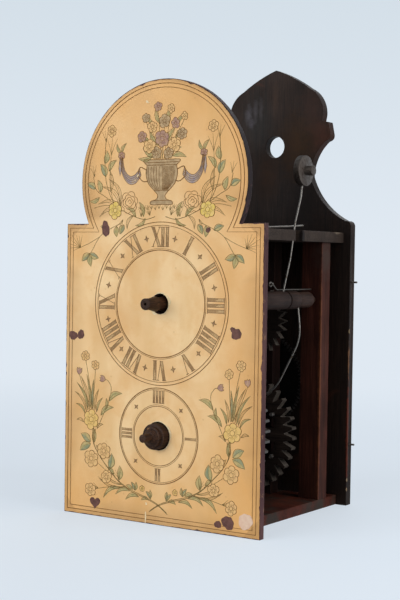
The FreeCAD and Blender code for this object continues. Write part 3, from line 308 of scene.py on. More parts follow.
# Count wheel and plate: near-black as painted shade, so that they sink into the dark at the back of the works
count_wood = stained_wood("count_wheel_black_as_painted_shade", "#0C0A09", "#130F0D", "#1C1714", "X", (0.6, 0.75),
                          fine_mm=0.7)
arbor_wood = stained_wood("turned_plum_arbor", "#1E1411", "#34241E", "#4A372D", "Y", (0.42, 0.62),
                          fine_mm=0.6, band_mm=4.0)
nose_wood = stained_wood("handled_plum_nose", "#1B110D", "#382319", "#5B3E2B", "Y", (0.38, 0.58),
                         fine_mm=0.6, band_mm=3.0, worn="#7C5A3C", worn_share=0.36)
head_iron = drawn_wire("forged_hammer_iron", "#574E47", "#3C342F", "#30241D", 0.44)
wire_iron = drawn_wire("drawn_iron_wire", "#8E8882", "#655E57", "#50402F", 0.44)
# Spring wire: darker than the other wires as painted shade, with the same rust freckles
spring_iron = drawn_wire("spring_wire_rust_and_painted_shade", "#706B65", "#4C4741", "#3E2F24", 0.46)
pin_iron = drawn_wire("wire_pinion_pins", "#8F8B86", "#5E5953", "#473628", 0.46)
nail_iron = drawn_wire("forged_nail_iron", "#57504B", "#38312D", "#402A1E", 0.50)
sheet_paper = printed_paper("varnished_printed_sheet")


def new_piece(name, mesh, materials, body, nodes):
    """Links a finished mesh as a piece that rides on a body and may stand for solids of the frame."""
    piece = bpy.data.objects.new(name, mesh)
    bpy.context.scene.collection.objects.link(piece)
    mesh.materials.clear()
    for material in materials:
        mesh.materials.append(material)
    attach(piece, body)
    if nodes:
        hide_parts(*nodes)
    return piece


def node_tree(name, **sizes):
    """Starts a Geometry Nodes tree; its inputs, given back too, are geometry, named sizes and a material."""
    tree = bpy.data.node_groups.new(name, "GeometryNodeTree")
    for socket, kind in {"Geometry": "Geometry", **sizes, "Material": "Material"}.items():
        tree.interface.new_socket(socket, in_out="INPUT", socket_type="NodeSocket" + kind)
    tree.interface.new_socket("Geometry", in_out="OUTPUT", socket_type="NodeSocketGeometry")
    return tree, add(tree, "NodeGroupInput").node.outputs


def end_tree(tree, shape, material):
    """Ends a tree with its instances made real and its material set."""
    whole = add(tree, "GeometryNodeRealizeInstances", {"Geometry": shape})
    coat = add(tree, "GeometryNodeSetMaterial", {"Geometry": whole, "Material": material})
    add(tree, "NodeGroupOutput", {"Geometry": coat})


def grown(tree, mesh, **values):
    """Runs a tree over a mesh with its inputs set, and gives back the plain mesh it makes."""
    carrier = bpy.data.objects.new("carrier", mesh)
    bpy.context.scene.collection.objects.link(carrier)
    modifier = carrier.modifiers.new("grow", "NODES")
    modifier.node_group = tree
    for item in tree.interface.items_tree:
        if item.item_type == "SOCKET" and item.in_out == "INPUT" and item.name in values:
            modifier[item.identifier] = values[item.name]
    view = bpy.context.evaluated_depsgraph_get()
    result = bpy.data.meshes.new_from_object(carrier.evaluated_get(view))
    carrier.modifiers.remove(modifier)
    bpy.data.objects.remove(carrier)
    return result


# Tree for bent wire: a round tube along each path, with its corners bent to a radius
wire_tree, given = node_tree("bent_wire", Radius="Float", Bend="Float")
path = add(wire_tree, "GeometryNodeMeshToCurve", {"Mesh": given["Geometry"]})
path = add(wire_tree, "GeometryNodeFilletCurve", {"Curve": path, "Count": 6, "Radius": given["Bend"],
                                                  "Limit Radius": True}, mode="POLY")
ring = add(wire_tree, "GeometryNodeCurvePrimitiveCircle", {"Resolution": 14, "Radius": given["Radius"]})
tube = add(wire_tree, "GeometryNodeCurveToMesh", {"Curve": path, "Profile Curve": ring, "Fill Caps": True})
end_tree(wire_tree, tube, given["Material"])

# Tree for wire pins: one round pin along Y at each point
pin_tree, given = node_tree("wire_pins", Radius="Float", Length="Float")
pin = add(pin_tree, "GeometryNodeMeshCylinder", {"Vertices": 16, "Radius": given["Radius"],
                                                 "Depth": given["Length"]})
pin = add(pin_tree, "GeometryNodeTransform", {"Geometry": pin, "Rotation": (math.pi / 2, 0, 0)})
many = add(pin_tree, "GeometryNodeInstanceOnPoints", {"Points": given["Geometry"], "Instance": pin})
end_tree(pin_tree, many, given["Material"])

# Tree for forged nails: a low faceted head at each point, turned to face along Aim
nail_tree, given = node_tree("forged_nails", Radius="Float", Aim="Vector")
knob = add(nail_tree, "GeometryNodeMeshUVSphere", {"Segments": 9, "Rings": 6, "Radius": given["Radius"]})
knob = add(nail_tree, "GeometryNodeTransform", {"Geometry": knob, "Scale": (1.0, 0.86, 0.34)})
turn = add(nail_tree, "FunctionNodeAlignRotationToVector", {"Vector": given["Aim"]}, axis="Z")
many = add(nail_tree, "GeometryNodeInstanceOnPoints", {"Points": given["Geometry"], "Instance": knob,
                                                       "Rotation": turn})
end_tree(nail_tree, many, given["Material"])

# Tree for engraved lines: a flat ribbon along each path in the plane, as wide as the path's own width
ink_tree, given = node_tree("engraved_lines", Rise="Float")
path = add(ink_tree, "GeometryNodeMeshToCurve", {"Mesh": given["Geometry"]})
path = add(ink_tree, "GeometryNodeSetCurveNormal", {"Curve": path}, mode="Z_UP")
flat = add(ink_tree, "GeometryNodeCurvePrimitiveQuadrilateral", {"Width": 1.0, "Height": given["Rise"]})
width = add(ink_tree, "GeometryNodeInputNamedAttribute", {"Name": "width"}, "Attribute", data_type="FLOAT")
ribbon = add(ink_tree, "GeometryNodeCurveToMesh", {"Curve": path, "Profile Curve": flat, "Scale": width,
                                                   "Fill Caps": True})
end_tree(ink_tree, ribbon, given["Material"])


def path_mesh(paths):
    """A mesh of loose edges along each list of points."""
    points = []
    edges = []
    for route in paths:
        edges += [(len(points) + i, len(points) + i + 1) for i in range(len(route) - 1)]
        points += route
    mesh = bpy.data.meshes.new("paths")
    mesh.from_pydata(points, edges, [])
    return mesh


def smoothed(mesh, corner):
    """Shades a mesh smooth, apart from corners sharper than an angle in degrees."""
    mesh.shade_smooth()
    mesh.set_sharp_from_angle(angle=math.radians(corner))
    return mesh


def plain_mesh(shape, name):
    """Turns a finished bmesh into a mesh."""
    mesh = bpy.data.meshes.new(name)
    shape.to_mesh(mesh)
    shape.free()
    return mesh


def round_corners(shape, corner, wear, finish=-1):
    """Rounds the edges sharper than an angle in degrees by so many millimetres; the strips get a finish."""
    sharp = [e for e in shape.edges if e.is_manifold and e.calc_face_angle() > math.radians(corner)]
    bmesh.ops.bevel(shape, geom=sharp, offset=wear * MM, segments=2, profile=0.5, affect="EDGES",
                    clamp_overlap=True, material=finish)


def bent_wires(name, node, routes, radius, bend, material):
    """Round wires on the routes that the solids follow, in the maker's millimetres."""
    mesh = path_mesh([[place(*p) for p in route] for route in routes])
    tubes = grown(wire_tree, mesh, Radius=radius * MM, Bend=bend * MM, Material=material)
    new_piece(name, smoothed(tubes, wire_crease), [material], body_of[node], [node])


def merged_copy(node):
    """A bmesh of a node's own solid, its loose triangles joined and its flat faces made whole."""
    shape = bmesh.new()
    shape.from_mesh(frame["nodes"][node].data)
    bmesh.ops.remove_doubles(shape, verts=shape.verts, dist=2e-6)
    bmesh.ops.dissolve_limit(shape, angle_limit=math.radians(0.4), verts=shape.verts, edges=shape.edges)
    return shape


def worn_copy(node, finish, edge_finish, wear):
    """A solid with its sharp corners rubbed round; the rubbed strips get the worn finish."""
    shape = merged_copy(node)
    round_corners(shape, worn_corner, wear, 1)
    mesh = smoothed(plain_mesh(shape, node), worn_crease)
    return new_piece(node + "_worn", mesh, [finish, edge_finish], body_of[node], [node])


def off_axis(point, axis, along=1):
    """A point's place along X (0) or Y (1), and its distance from an axis that runs that way."""
    aside = 1 - along
    return point[along], math.hypot(point[aside] - axis[aside], point.z - axis.z)


def lathe(profile, axis, along, rounds=40):
    """A turned closed shape: rings (station, radius) along X or Y about an axis, its ends capped."""
    shape = bmesh.new()
    rings = []
    for station, radius in profile:
        ring = []
        for i in range(rounds):
            angle = 2 * math.pi * i / rounds
            corner = Vector((0, 0, axis.z + radius * math.sin(angle)))
            corner[along] = station
            corner[1 - along] = axis[1 - along] + radius * math.cos(angle)
            ring.append(shape.verts.new(corner))
        rings.append(ring)
    for low, high in zip(rings, rings[1:]):
        for i in range(rounds):
            j = (i + 1) % rounds
            shape.faces.new((low[i], low[j], high[j], high[i]))
    shape.faces.new(rings[0])
    shape.faces.new(rings[-1])
    bmesh.ops.remove_doubles(shape, verts=shape.verts, dist=1e-7)
    bmesh.ops.recalc_face_normals(shape, faces=shape.faces)
    round_corners(shape, turned_corner, turned_wear)
    return smoothed(plain_mesh(shape, "turned"), round_crease)


def turned_profile(node, axis, along, least_sides=12):
    """Steps of a flat-sided solid, read off its own corners: the outermost (station, radius) pairs."""
    mesh = frame["nodes"][node].data
    places = [tuple(round(value, 5) for value in off_axis(v.co, axis, along)) for v in mesh.vertices]
    counts = {}
    for key in places:
        counts[key] = counts.get(key, 0) + 1
    spans = {}
    for edge in mesh.edges:
        a, b = sorted(places[i] for i in edge.vertices)
        if b[0] - a[0] > 1e-5 and min(counts[a], counts[b]) >= least_sides:
            reach = max(a[1], b[1])
            if reach > spans.get((a[0], b[0]), (0, 0, 0))[0]:
                spans[(a[0], b[0])] = (reach, a[1], b[1])
    stations = sorted({s for span in spans for s in span})
    profile = []
    for low, high in zip(stations, stations[1:]):
        best = max((r for (s0, s1), r in spans.items() if s0 <= low and s1 >= high), default=None)
        if best:
            profile += [(low, best[1]), (high, best[2])]
    return profile


def turned_copy(node, finish, axis, along=1, bore=None):
    """A round copy of a turned solid that the frame holds with flat sides; a bore is a radius and a depth."""
    profile = turned_profile(node, axis, along)
    if bore:
        front = profile[0][0]
        profile = [(front + bore[1] * MM, bore[0] * MM), (front, bore[0] * MM)] + profile
    new_piece(node + "_turned", lathe(profile, axis, along), [finish], body_of[node], [node])


def round_pins(node):
    """Round wire pins where a node's flat-sided ones are, grouped by size."""
    shape = merged_copy(node)
    met = set()
    groups = {}
    for start in shape.verts:
        if start in met:
            continue
        met.add(start)
        island = [start]
        for v in island:
            for e in v.link_edges:
                other = e.other_vert(v)
                if other not in met:
                    met.add(other)
                    island.append(other)
        low = [min(v.co[i] for v in island) for i in range(3)]
        high = [max(v.co[i] for v in island) for i in range(3)]
        middle = Vector([(a + b) / 2 for a, b in zip(low, high)])
        radius = max(off_axis(v.co, middle)[1] for v in island)
        groups.setdefault((round(radius, 5), round(high[1] - low[1], 5)), []).append(middle)
    shape.free()
    joined = bmesh.new()
    for (radius, length), centres in groups.items():
        points = path_mesh([[centre] for centre in centres])
        joined.from_mesh(grown(pin_tree, points, Radius=radius, Length=length, Material=pin_iron))
    mesh = smoothed(plain_mesh(joined, node), round_crease)
    new_piece(node + "_round", mesh, [pin_iron], body_of[node], [node])


# Case: boards, posts and pillars with rubbed corners
dial = worn_copy("dial_board", dial_side, dial_rim, dial_wear).data
dial.materials.append(dial_back)
for face in dial.polygons:
    if face.normal.y > 0.9:
        face.material_index = 2
worn_copy("backboard", back_stain, back_edge, edge_wear)
worn_copy("top_board", board_stain, board_edge, edge_wear)
worn_copy("bottom_board", base_stain, base_edge, edge_wear)
for post in ("front_left_post", "front_right_post", "rear_left_post", "rear_right_post"):
    worn_copy(post, post_stain, post_edge, post_wear)
for pillar in ("front_pillar", "middle_pillar", "rear_pillar"):
    worn_copy(pillar, pillar_stain, pillar_stain, edge_wear)

# Wheels, plates and levers of wood keep their own outline, with worn tooth corners lightened also as a painted
# glint, and glossy flanks lightened as a painted highlight
# Outer tooth faces that face sideways take the lighter flank finish, a painted highlight
flank_tilt = 0.3
flank_share = 0.82
for node in ("going_great_wheel", "second_wheel", "escape_wheel", "anchor", "idler_wheel", "idler_barrel",
             "hour_wheel", "strike_great_wheel", "locking_wheel", "locking_cam", "warning_wheel", "fly_vane",
             "count_wheel", "count_plate", "going_pulley", "strike_pulley", "going_click", "strike_click"):
    # The count wheel and its plate take the near-black painted shade finish all over
    if body_of[node] == "count":
        worn_copy(node, count_wood, count_wood, tooth_wear)
        continue
    wheel = worn_copy(node, wheel_wood, wheel_edge, tooth_wear).data
    wheel.materials.append(tooth_flank)
    reach = [off_axis(face.center, axis_of[body_of[node]])[1] for face in wheel.polygons]
    rim = flank_share * max(reach)
    for face, radius in zip(wheel.polygons, reach):
        if face.material_index == 0 and abs(face.normal.y) < flank_tilt and radius > rim:
            face.material_index = 2

# Arbors, the hour nose with its pin hole, and the hammer's head, turned round
nose_bore = (1.1, 6.0)
for body in ("going", "second", "escape", "anchor", "strike", "locking", "warning", "fly", "hammer", "lever"):
    turned_copy(body + "_arbor", nose_wood if body == "going" else arbor_wood, axis_of[body])
turned_copy("hour_pipe", nose_wood, place(hour_centre[0], 0, hour_centre[1]), bore=nose_bore)
turned_copy("hammer_head", head_iron, sum(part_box("hammer_head"), Vector()) / 2, along=0)

# Pins of the lantern pinions and great wheels, and the studs in the pillars
for node in ("going_wire_pins", "second_pinion_pins", "escape_pinion_pins", "idler_pins", "strike_wire_pins",
             "locking_pinion_pins", "warning_pinion_pins", "fly_pinion_pins", "pillar_studs"):
    round_pins(node)

# Bent wires, on the routes of their solids
bent_wires("hammer_stem_wire", "hammer_stem", [
    [(58.0, 79.8, 169.0), (63.0, 84.0, 202.0), (64.6, 87.6, 229.0), (67.5, 90.8, 249.0),
     (68.6, 92.3, 269.4)]], wire_radius, 40, wire_iron)
bent_wires("hammer_tail_wire", "hammer_tail", [
    [(58.0, 104.8, 169.0), (61.6, 104.8, 139.0), (37.8, 109.15, 98.3), (17.61, 113.5, 87.38)]],
    wire_radius, 32, wire_iron)
bent_wires("stop_wire", "hammer_stop_wire", [
    [(58.31, 45.8, 219.2), (58.31, 45.8, 224.4), (62.31, 86.95, 226.4), (62.31, 103.8, 227.4)]],
    wire_radius, 2.5, wire_iron)
bent_wires("spring_wire", "hammer_spring_wire", [
    [(56.3, 133.97, 177.1), (56.3, 75.0, 177.1), (55.8, 71.6, 180.2), (55.2, 67.4, 183.6),
     (54.8, 65.6, 180.8), (54.8, 68.6, 179.2), (55.4, 71.0, 182.4)]], spring_radius, 1.6, spring_iron)
bent_wires("crutch_wire", "crutch", [[(0.0, 155.8, 207.4), (0.0, 155.8, 165.0), (0.0, 158.2, 164.0)]],
           crutch_radius, 2, wire_iron)
bent_wires("lever_wire_set", "lever_wires", [
    [(-58.0, 67.8, 150.0), (-35.46, 67.8, 105.33), (-19.46, 67.8, 83.33)],
    [(-58.0, 98.3, 150.0), (-26.42, 98.3, 130.68), (-14.42, 98.3, 116.68)],
    [(-58.0, 123.3, 150.0), (-31.63, 123.3, 129.8), (-31.63, 150.55, 129.8), (-22.89, 150.55, 121.65)]],
    wire_radius, 2.5, wire_iron)


# Dial art, drawn in millimetres across (x) and up (z) the face, with pens and washes
faint_pen = 0.24
hair_pen = 0.3
thin_pen = 0.34
fine_pen = 0.36
plain_pen = 0.4
firm_pen = 0.46
bold_pen = 0.66
pen_rise = 0.06
wash_foot = 0.02
wash_step = 0.0015
wash_steps = 12
off_line = 0.35
limb_half = 1.15
hair_limb_pen = 0.38
serif_half = 1.9
hair_serif_half = 1.2
petal_play = 0.06
leaf_fullness = 0.85
bud_size = 4.2
green = "leaf_green"
blue = "leaf_blue"
pale, cream, yellow, purple, grey = ("petal_" + tone for tone in "pale cream yellow purple grey".split())
strokes = {"line": [], "number": [], "stem": []}
washes = {}


def on_face(mesh, rise):
    """Turns art drawn in the plane onto the dial's face, raised by so many millimetres from the board."""
    mesh.transform(Matrix(((1, 0, 0, middle_x), (0, 0, -1, face_y - rise * MM), (0, 1, 0, base_z),
                           (0, 0, 0, 1))))
    return mesh


def engraved(name, lines, material, rise):
    """Ink ribbons for lines, each (points, width in mm, share of the width left at its end)."""
    mesh = path_mesh([[(x * MM, z * MM, 0) for x, z in points] for points, width, end in lines])
    widths = [width * MM * (1 - (1 - end) * i / (len(points) - 1))
              for points, width, end in lines for i in range(len(points))]
    mesh.attributes.new("width", "FLOAT", "POINT").data.foreach_set("value", widths)
    ribbons = grown(ink_tree, mesh, Rise=pen_rise, Material=material)
    new_piece(name, on_face(ribbons, paper_thickness + rise), [material], "case", ())


def washed(name, outlines, material, rise):
    """Thin closed plates of colour for outlines in the plane, each a hair higher than the one before."""
    shape = bmesh.new()
    for i, outline in enumerate(outlines):
        top = rise + wash_step * (i % wash_steps)
        low = [shape.verts.new((x * MM, z * MM, -wash_foot * MM)) for x, z in outline]
        high = [shape.verts.new((x * MM, z * MM, top * MM)) for x, z in outline]
        shape.faces.new(low)
        shape.faces.new(high)
        for j in range(len(low)):
            k = (j + 1) % len(low)
            shape.faces.new((low[j], low[k], high[k], high[j]))
    bmesh.ops.recalc_face_normals(shape, faces=shape.faces)
    new_piece(name, on_face(plain_mesh(shape, name), paper_thickness), [material], "case", ())


def ink(kind, points, width, end=1.0):
    """Keeps a stroke of a kind for later: its points, its width and the share of it left at the end."""
    strokes[kind].append((points, width, end))


def wash(kind, outline):
    """Keeps an outline to be filled with a kind of wash."""
    washes.setdefault(kind, []).append(outline)


def closed(points):
    """A ring of points with its first point again at its end."""
    return points + points[:1]


def turned(x, z, angle, points):
    """Points drawn along and across an angle in degrees, from (x, z)."""
    c, s = math.cos(math.radians(angle)), math.sin(math.radians(angle))
    return [(x + a * c - b * s, z + a * s + b * c) for a, b in points]


def circle(x, z, radius, count):
    """Points evenly round a circle."""
    return [turned(x, z, 360 * i / count, [(radius, 0)])[0] for i in range(count)]


def dial_outline(inset, steps=96):
    """The dial's outline, moved in by so much: two shoulders and an arch."""
    half = dial_width / 2 - inset
    radius = arch_radius - inset
    low = shoulder_height - inset
    bite = math.asin((arch_centre - low) / radius)
    points = [(-half, inset), (half, inset), (half, low)]
    for i in range(steps + 1):
        angle = -bite + (math.pi + 2 * bite) * i / steps
        points.append((radius * math.cos(angle), arch_centre + radius * math.sin(angle)))
    return points + [(-half, low)]


def flowing(points, steps=8):
    """A smooth line through the points."""
    ends = [points[0]] + list(points) + [points[-1]]
    line = []
    for a, b, c, d in zip(ends, ends[1:], ends[2:], ends[3:]):
        for i in range(steps):
            t = i / steps
            line.append(tuple(0.5 * (2 * b[k] + (c[k] - a[k]) * t
                                     + (2 * a[k] - 5 * b[k] + 4 * c[k] - d[k]) * t ** 2
                                     + (3 * b[k] - a[k] - 3 * c[k] + d[k]) * t ** 3) for k in (0, 1)))
    return line + [points[-1]]


def blossom(x, z, radius, petals, turn, depth=0.24, count=60):
    """A flower's scalloped outline, its petals of uneven size."""
    points = []
    for i in range(count):
        part = petals * (i / count - turn / (2 * math.pi))
        size = 1 + petal_play * math.sin(4 * (round(part) % petals) + x + z)
        r = radius * size * (1 - depth + depth * abs(math.cos(math.pi * part)) ** 0.6)
        points += turned(x, z, 360 * i / count, [(r, 0)])
    return points


def draw_flower(x, z, radius, tone, petals, turn=0.4):
    """A flower from the front: scalloped petals, a ringed eye and fine hatching out of the middle."""
    wash(tone, blossom(x, z, radius * 0.95, petals, turn))
    ink("line", closed(blossom(x, z, radius, petals, turn)), fine_pen)
    ink("line", closed(circle(x, z, radius * 0.27, 14)), thin_pen)
    for i in range(petals):
        middle = math.degrees(turn) + 360 * i / petals
        ink("line", turned(x, z, middle + 180 / petals, [(radius * 0.48, 0), (radius * 0.78, 0)]), hair_pen)
        for aside in (-14, 0, 14) if radius > 4 else (0,):
            hatch = turned(x, z, middle + aside, [(radius * 0.36, 0), (radius * 0.62, 0)])
            ink("line", hatch, faint_pen, 0.5)


def draw_leaf(x, z, length, width, angle, tone, bend=0.15, steps=8):
    """A pointed leaf from its foot, washed by hand a little off its lines, and darker on one half."""
    spine = [(length * i / steps, bend * length * math.sin(math.pi * i / steps)) for i in range(steps + 1)]
    swell = [width / 2 * math.sin(math.pi * (i / steps) ** leaf_fullness) for i in range(steps)] + [0.0]
    upper = [(a, b + s) for (a, b), s in zip(spine, swell)]
    lower = [(a, b - s) for (a, b), s in zip(spine, swell)]
    outline = upper + lower[-2:0:-1]
    if tone:
        wash(green, turned(x + off_line, z - off_line, angle, outline))
    if tone == blue:
        wash(blue, turned(x + off_line, z - off_line, angle, upper + spine[-2:0:-1]))
    ink("stem", closed(turned(x, z, angle, outline)), fine_pen)
    ink("stem", turned(x, z, angle, spine[:-1]), hair_pen, 0.4)


def draw_stem(points, width):
    """A stem through the points, a little thinner at its end."""
    ink("stem", flowing(points), width, 0.9)


def draw_tuft(x, z, length, angle, count, spread=15):
    """Fine blades that fan out from one foot and curl over at their tips."""
    for i in range(count):
        lean = i - (count - 1) / 2
        reach = length * (1 - 0.10 * abs(lean) + 0.08 * math.cos(2.3 * i))
        curl = 0.30 * reach * lean / count
        blade = turned(x, z, angle + spread * lean, [(0, 0), (reach * 0.5, curl * 0.2), (reach, curl)])
        ink("stem", flowing(blade, 4), plain_pen, 0.3)


def draw_rose(x, z, radius):
    """A full rose in lines: three turns of petals, one inside the other, and a curl in its heart."""
    for share, petals, turn in ((1.0, 6, 0.2), (0.72, 5, 0.7), (0.46, 4, 0.1)):
        ink("line", closed(blossom(x, z, radius * share, petals, turn)), fine_pen)
    curl = ((-0.2, 0), (0, 0.22), (0.2, 0), (0, -0.12))
    ink("line", flowing([(x + radius * a, z + radius * b) for a, b in curl]), thin_pen)


def draw_tulip(x, z, size, angle):
    """A closed bud with three points, washed purple."""
    half = [(-0.1, 0), (0.35, 0.5), (0.8, 0.62), (1.25, 0.5), (0.98, 0.22), (1.32, 0.0)]
    cup = turned(x, z, angle, [(size * a, size * b) for a, b in half + [(a, -b) for a, b in half[4:0:-1]]])
    wash(purple, cup)
    ink("line", closed(cup), thin_pen)


def draw_sprays(shifts, stems, flowers, leaves, tufts, buds=(), roses=()):
    """Draws the ornament of the right half on both sides, each side set over by its shift."""
    for side, shift in zip((-1, 1), shifts):
        def over(x, z):
            return side * x + shift, z

        def lean(angle):
            return angle if side == 1 else 180 - angle

        for width, route in stems:
            draw_stem([over(*point) for point in route], width)
        for x, z, radius in roses:
            draw_rose(*over(x, z), radius)
        for x, z, radius, tone, petals in flowers:
            draw_flower(*over(x, z), radius, tone, petals)
        for x, z, angle in buds:
            draw_tulip(*over(x, z), bud_size, lean(angle))
        for x, z, length, width, angle, tone, bend in leaves:
            draw_leaf(*over(x, z), length, width, lean(angle), tone, bend * side)
        for x, z, length, angle, count in tufts:
            draw_tuft(*over(x, z), length, lean(angle), count)


def letter_strokes(letter, height):
    """A Roman figure's strokes about its middle: thick limb (from, to), hair lines and its width."""
    if letter == "I":
        return ((0, 0), (0, height)), [], 4.1
    if letter == "V":
        return ((-2.9, height), (0, 0)), [((2.9, height), (0.6, 0))], 7.5
    return ((-3, height), (3, 0)), [((3, height), (-3, 0))], 7.9


def draw_number(word, centre, foot_radius, height, angle, scale):
    """A Roman number that stands on a ring, feet to the middle, each thick limb outlined and half hatched."""
    def put(*spots):
        return turned(*centre, angle, [(foot_radius + b * scale, -a * scale) for a, b in spots])

    letters = [letter_strokes(letter, height / scale) for letter in word]
    middle = -sum(width for limb, hairs, width in letters) / 2
    hatching = ((-limb_half, 1, plain_pen), (limb_half, 1, plain_pen), (-0.4, 0.62, thin_pen),
                (0.4, 0.5, thin_pen))
    for letter, (limb, hairs, width) in zip(word, letters):
        middle += width / 2
        (x0, z0), (x1, z1) = [(middle + x, z) for x, z in limb]
        wash("number_tone", put((x0 - limb_half, z0), (x0 + limb_half, z0),
                                (x1 + limb_half, z1), (x1 - limb_half, z1)))
        for aside, reach, pen in hatching:
            end = (x0 + aside + reach * (x1 - x0), z0 + reach * (z1 - z0))
            ink("number", put((x0 + aside, z0), end), pen * scale)
        feet = [(x0, z0, serif_half), (x1, z1, serif_half)]
        for (xa, za), (xb, zb) in hairs:
            ink("number", put((middle + xa, za), (middle + xb, zb)), hair_limb_pen * scale)
            feet += [(middle + xa, za, hair_serif_half), (middle + xb, zb, hair_serif_half)]
        for x, z, half in feet:
            if letter != "V" or z > 0:
                ink("number", put((x - half, z), (x + half, z)), firm_pen * scale)
        middle += width / 2


def draw_quatrefoil(x, z, size, angle):
    """A small four-pointed ornament of hollow-sided diamonds."""
    points = [turned(x, z, angle + 45 * i, [(size * (1, 0.36)[i % 2], 0)])[0] for i in range(8)]
    wash("ornament", points)
    ink("line", closed(points), hair_pen)


# Border, hour ring and quarter ring
for inset, width in ((3.4, 0.58), (6.4, firm_pen)):
    ink("line", closed(dial_outline(inset)), width)
for radius, width in ((61.0, 0.52), (58.6, plain_pen), (41.3, hair_pen), (40.2, 0.62)):
    ink("line", closed(circle(*hour_centre, radius, 120)), width)
for radius, width in ((36.0, bold_pen), (34.9, hair_pen), (23.4, hair_pen), (22.3, 0.45)):
    ink("line", closed(circle(*quarter_centre, radius, 90)), width)
for words, centre, foot_radius, height, scale, ornament_radius, ornament_size in (
        ("XII I II III IIII V VI VII VIII IX X XI", hour_centre, 42.6, 14.6, 1.0, 50, 2.5),
        ("IIII I II III", quarter_centre, 24.6, 9.3, 0.68, 29, 2.2)):
    step = 360 / len(words.split())
    for i, word in enumerate(words.split()):
        between = 90 - step * (i + 0.5)
        draw_number(word, centre, foot_radius, height, 90 - step * i, scale)
        draw_quatrefoil(*turned(*centre, between, [(ornament_radius, 0)])[0], ornament_size, between)

# Garlands beside the quarter ring, on a doubled stem
garland = ((-9.5, 9), (0, 15), (12.4, 19.4), (25, 23.1), (36.2, 28.9), (46, 37.5), (55.1, 46.9), (60.6, 56),
           (61.5, 68))
twigs = (((28, 25.3), (42, 24.6), (60, 20.8)), ((40, 33), (48, 36), (56, 41)), ((46, 38), (47, 35), (48, 32)),
         ((57.1, 69), (51.6, 80), (46.9, 89.4), (44.6, 99.9), (48, 105.6), (51, 106)),
         ((64, 83), (72.5, 100), (76.4, 110)), ((63.6, 83), (66, 103), (70, 121)),
         ((63, 83), (61, 100), (60.3, 114)))
draw_sprays(
    (0.0, 2.0),
    stems=[(0.48, [(x + aside, z + rise) for x, z in garland]) for aside, rise in ((0, 0), (0.9, 1.2))]
    + [(plain_pen, twig) for twig in twigs],
    flowers=((63.7, 74.6, 7.6, cream, 6), (63.2, 44.2, 6.8, pale, 6), (51.1, 51.2, 6.4, pale, 6),
             (48.3, 31.5, 5.0, pale, 5), (63.7, 20.1, 5.2, pale, 6), (14.1, 26.1, 2.3, cream, 5),
             (70.3, 123.5, 4.0, pale, 7), (60.3, 116.9, 3.7, pale, 6)),
    buds=((76.5, 109, 100), (50.5, 106.2, 12)),
    leaves=((58.6, 80.5, 13, 1.9, 116, green, -0.12), (60.2, 82, 17, 2.0, 102, None, -0.08),
            (62.2, 82.6, 23, 2.0, 91, blue, -0.04), (64, 82.6, 27, 2.0, 80, green, 0.04),
            (65.8, 82.2, 27, 2.0, 71, None, 0.08), (67.2, 81.4, 24, 2.0, 62, green, 0.11),
            (68.6, 80.4, 19, 1.9, 52, None, 0.14), (69.8, 78.6, 12, 1.8, 38, green, 0.18),
            (46.9, 90, 14.3, 4.0, 152, green, -0.18), (54.5, 78.6, 14.2, 4.0, 151, green, -0.18),
            (50, 83, 9, 2.6, 95, green, 0.1), (64.3, 57.1, 11, 6.0, 32, blue, 0.08),
            (64.2, 55.8, 12, 6.0, 330, blue, 0.08), (45.2, 38, 12, 6.2, 98, blue, 0.08),
            (36.2, 30.2, 11, 5.2, 93, green, 0.08), (34.5, 24.6, 19.3, 3.0, 330, green, 0.18),
            (25, 23.1, 15, 3.0, 344, green, 0.2), (17.1, 19.5, 13, 2.8, 345, green, 0.2),
            (30, 25.7, 27, 1.8, 11, None, -0.14), (33, 27, 20, 1.6, 24, None, -0.12),
            (21, 24, 7, 2.8, 60, blue, 0.1), (21, 24, 6.5, 2.6, 100, green, 0.1),
            (23, 24.5, 7, 2.6, 20, green, 0.1), (6, 19, 7, 2.8, 50, blue, 0.1),
            (7, 19.4, 6.5, 2.6, 92, green, 0.1), (8, 18.6, 7, 2.6, 350, green, 0.2),
            (60.6, 57, 12, 2.4, 84, green, 0.1), (61.4, 57, 11, 2.4, 102, None, -0.1),
            (58, 68, 7, 2.2, 150, None, -0.2), (41, 34, 8, 2.4, 40, green, 0.1),
            (55, 48, 8, 2.4, 62, None, 0.1), (71.2, 72, 7, 2.0, 12, None, 0.2)),
    tufts=((56, 22, 7, 10, 4), (36, 31, 8, 70, 4)))

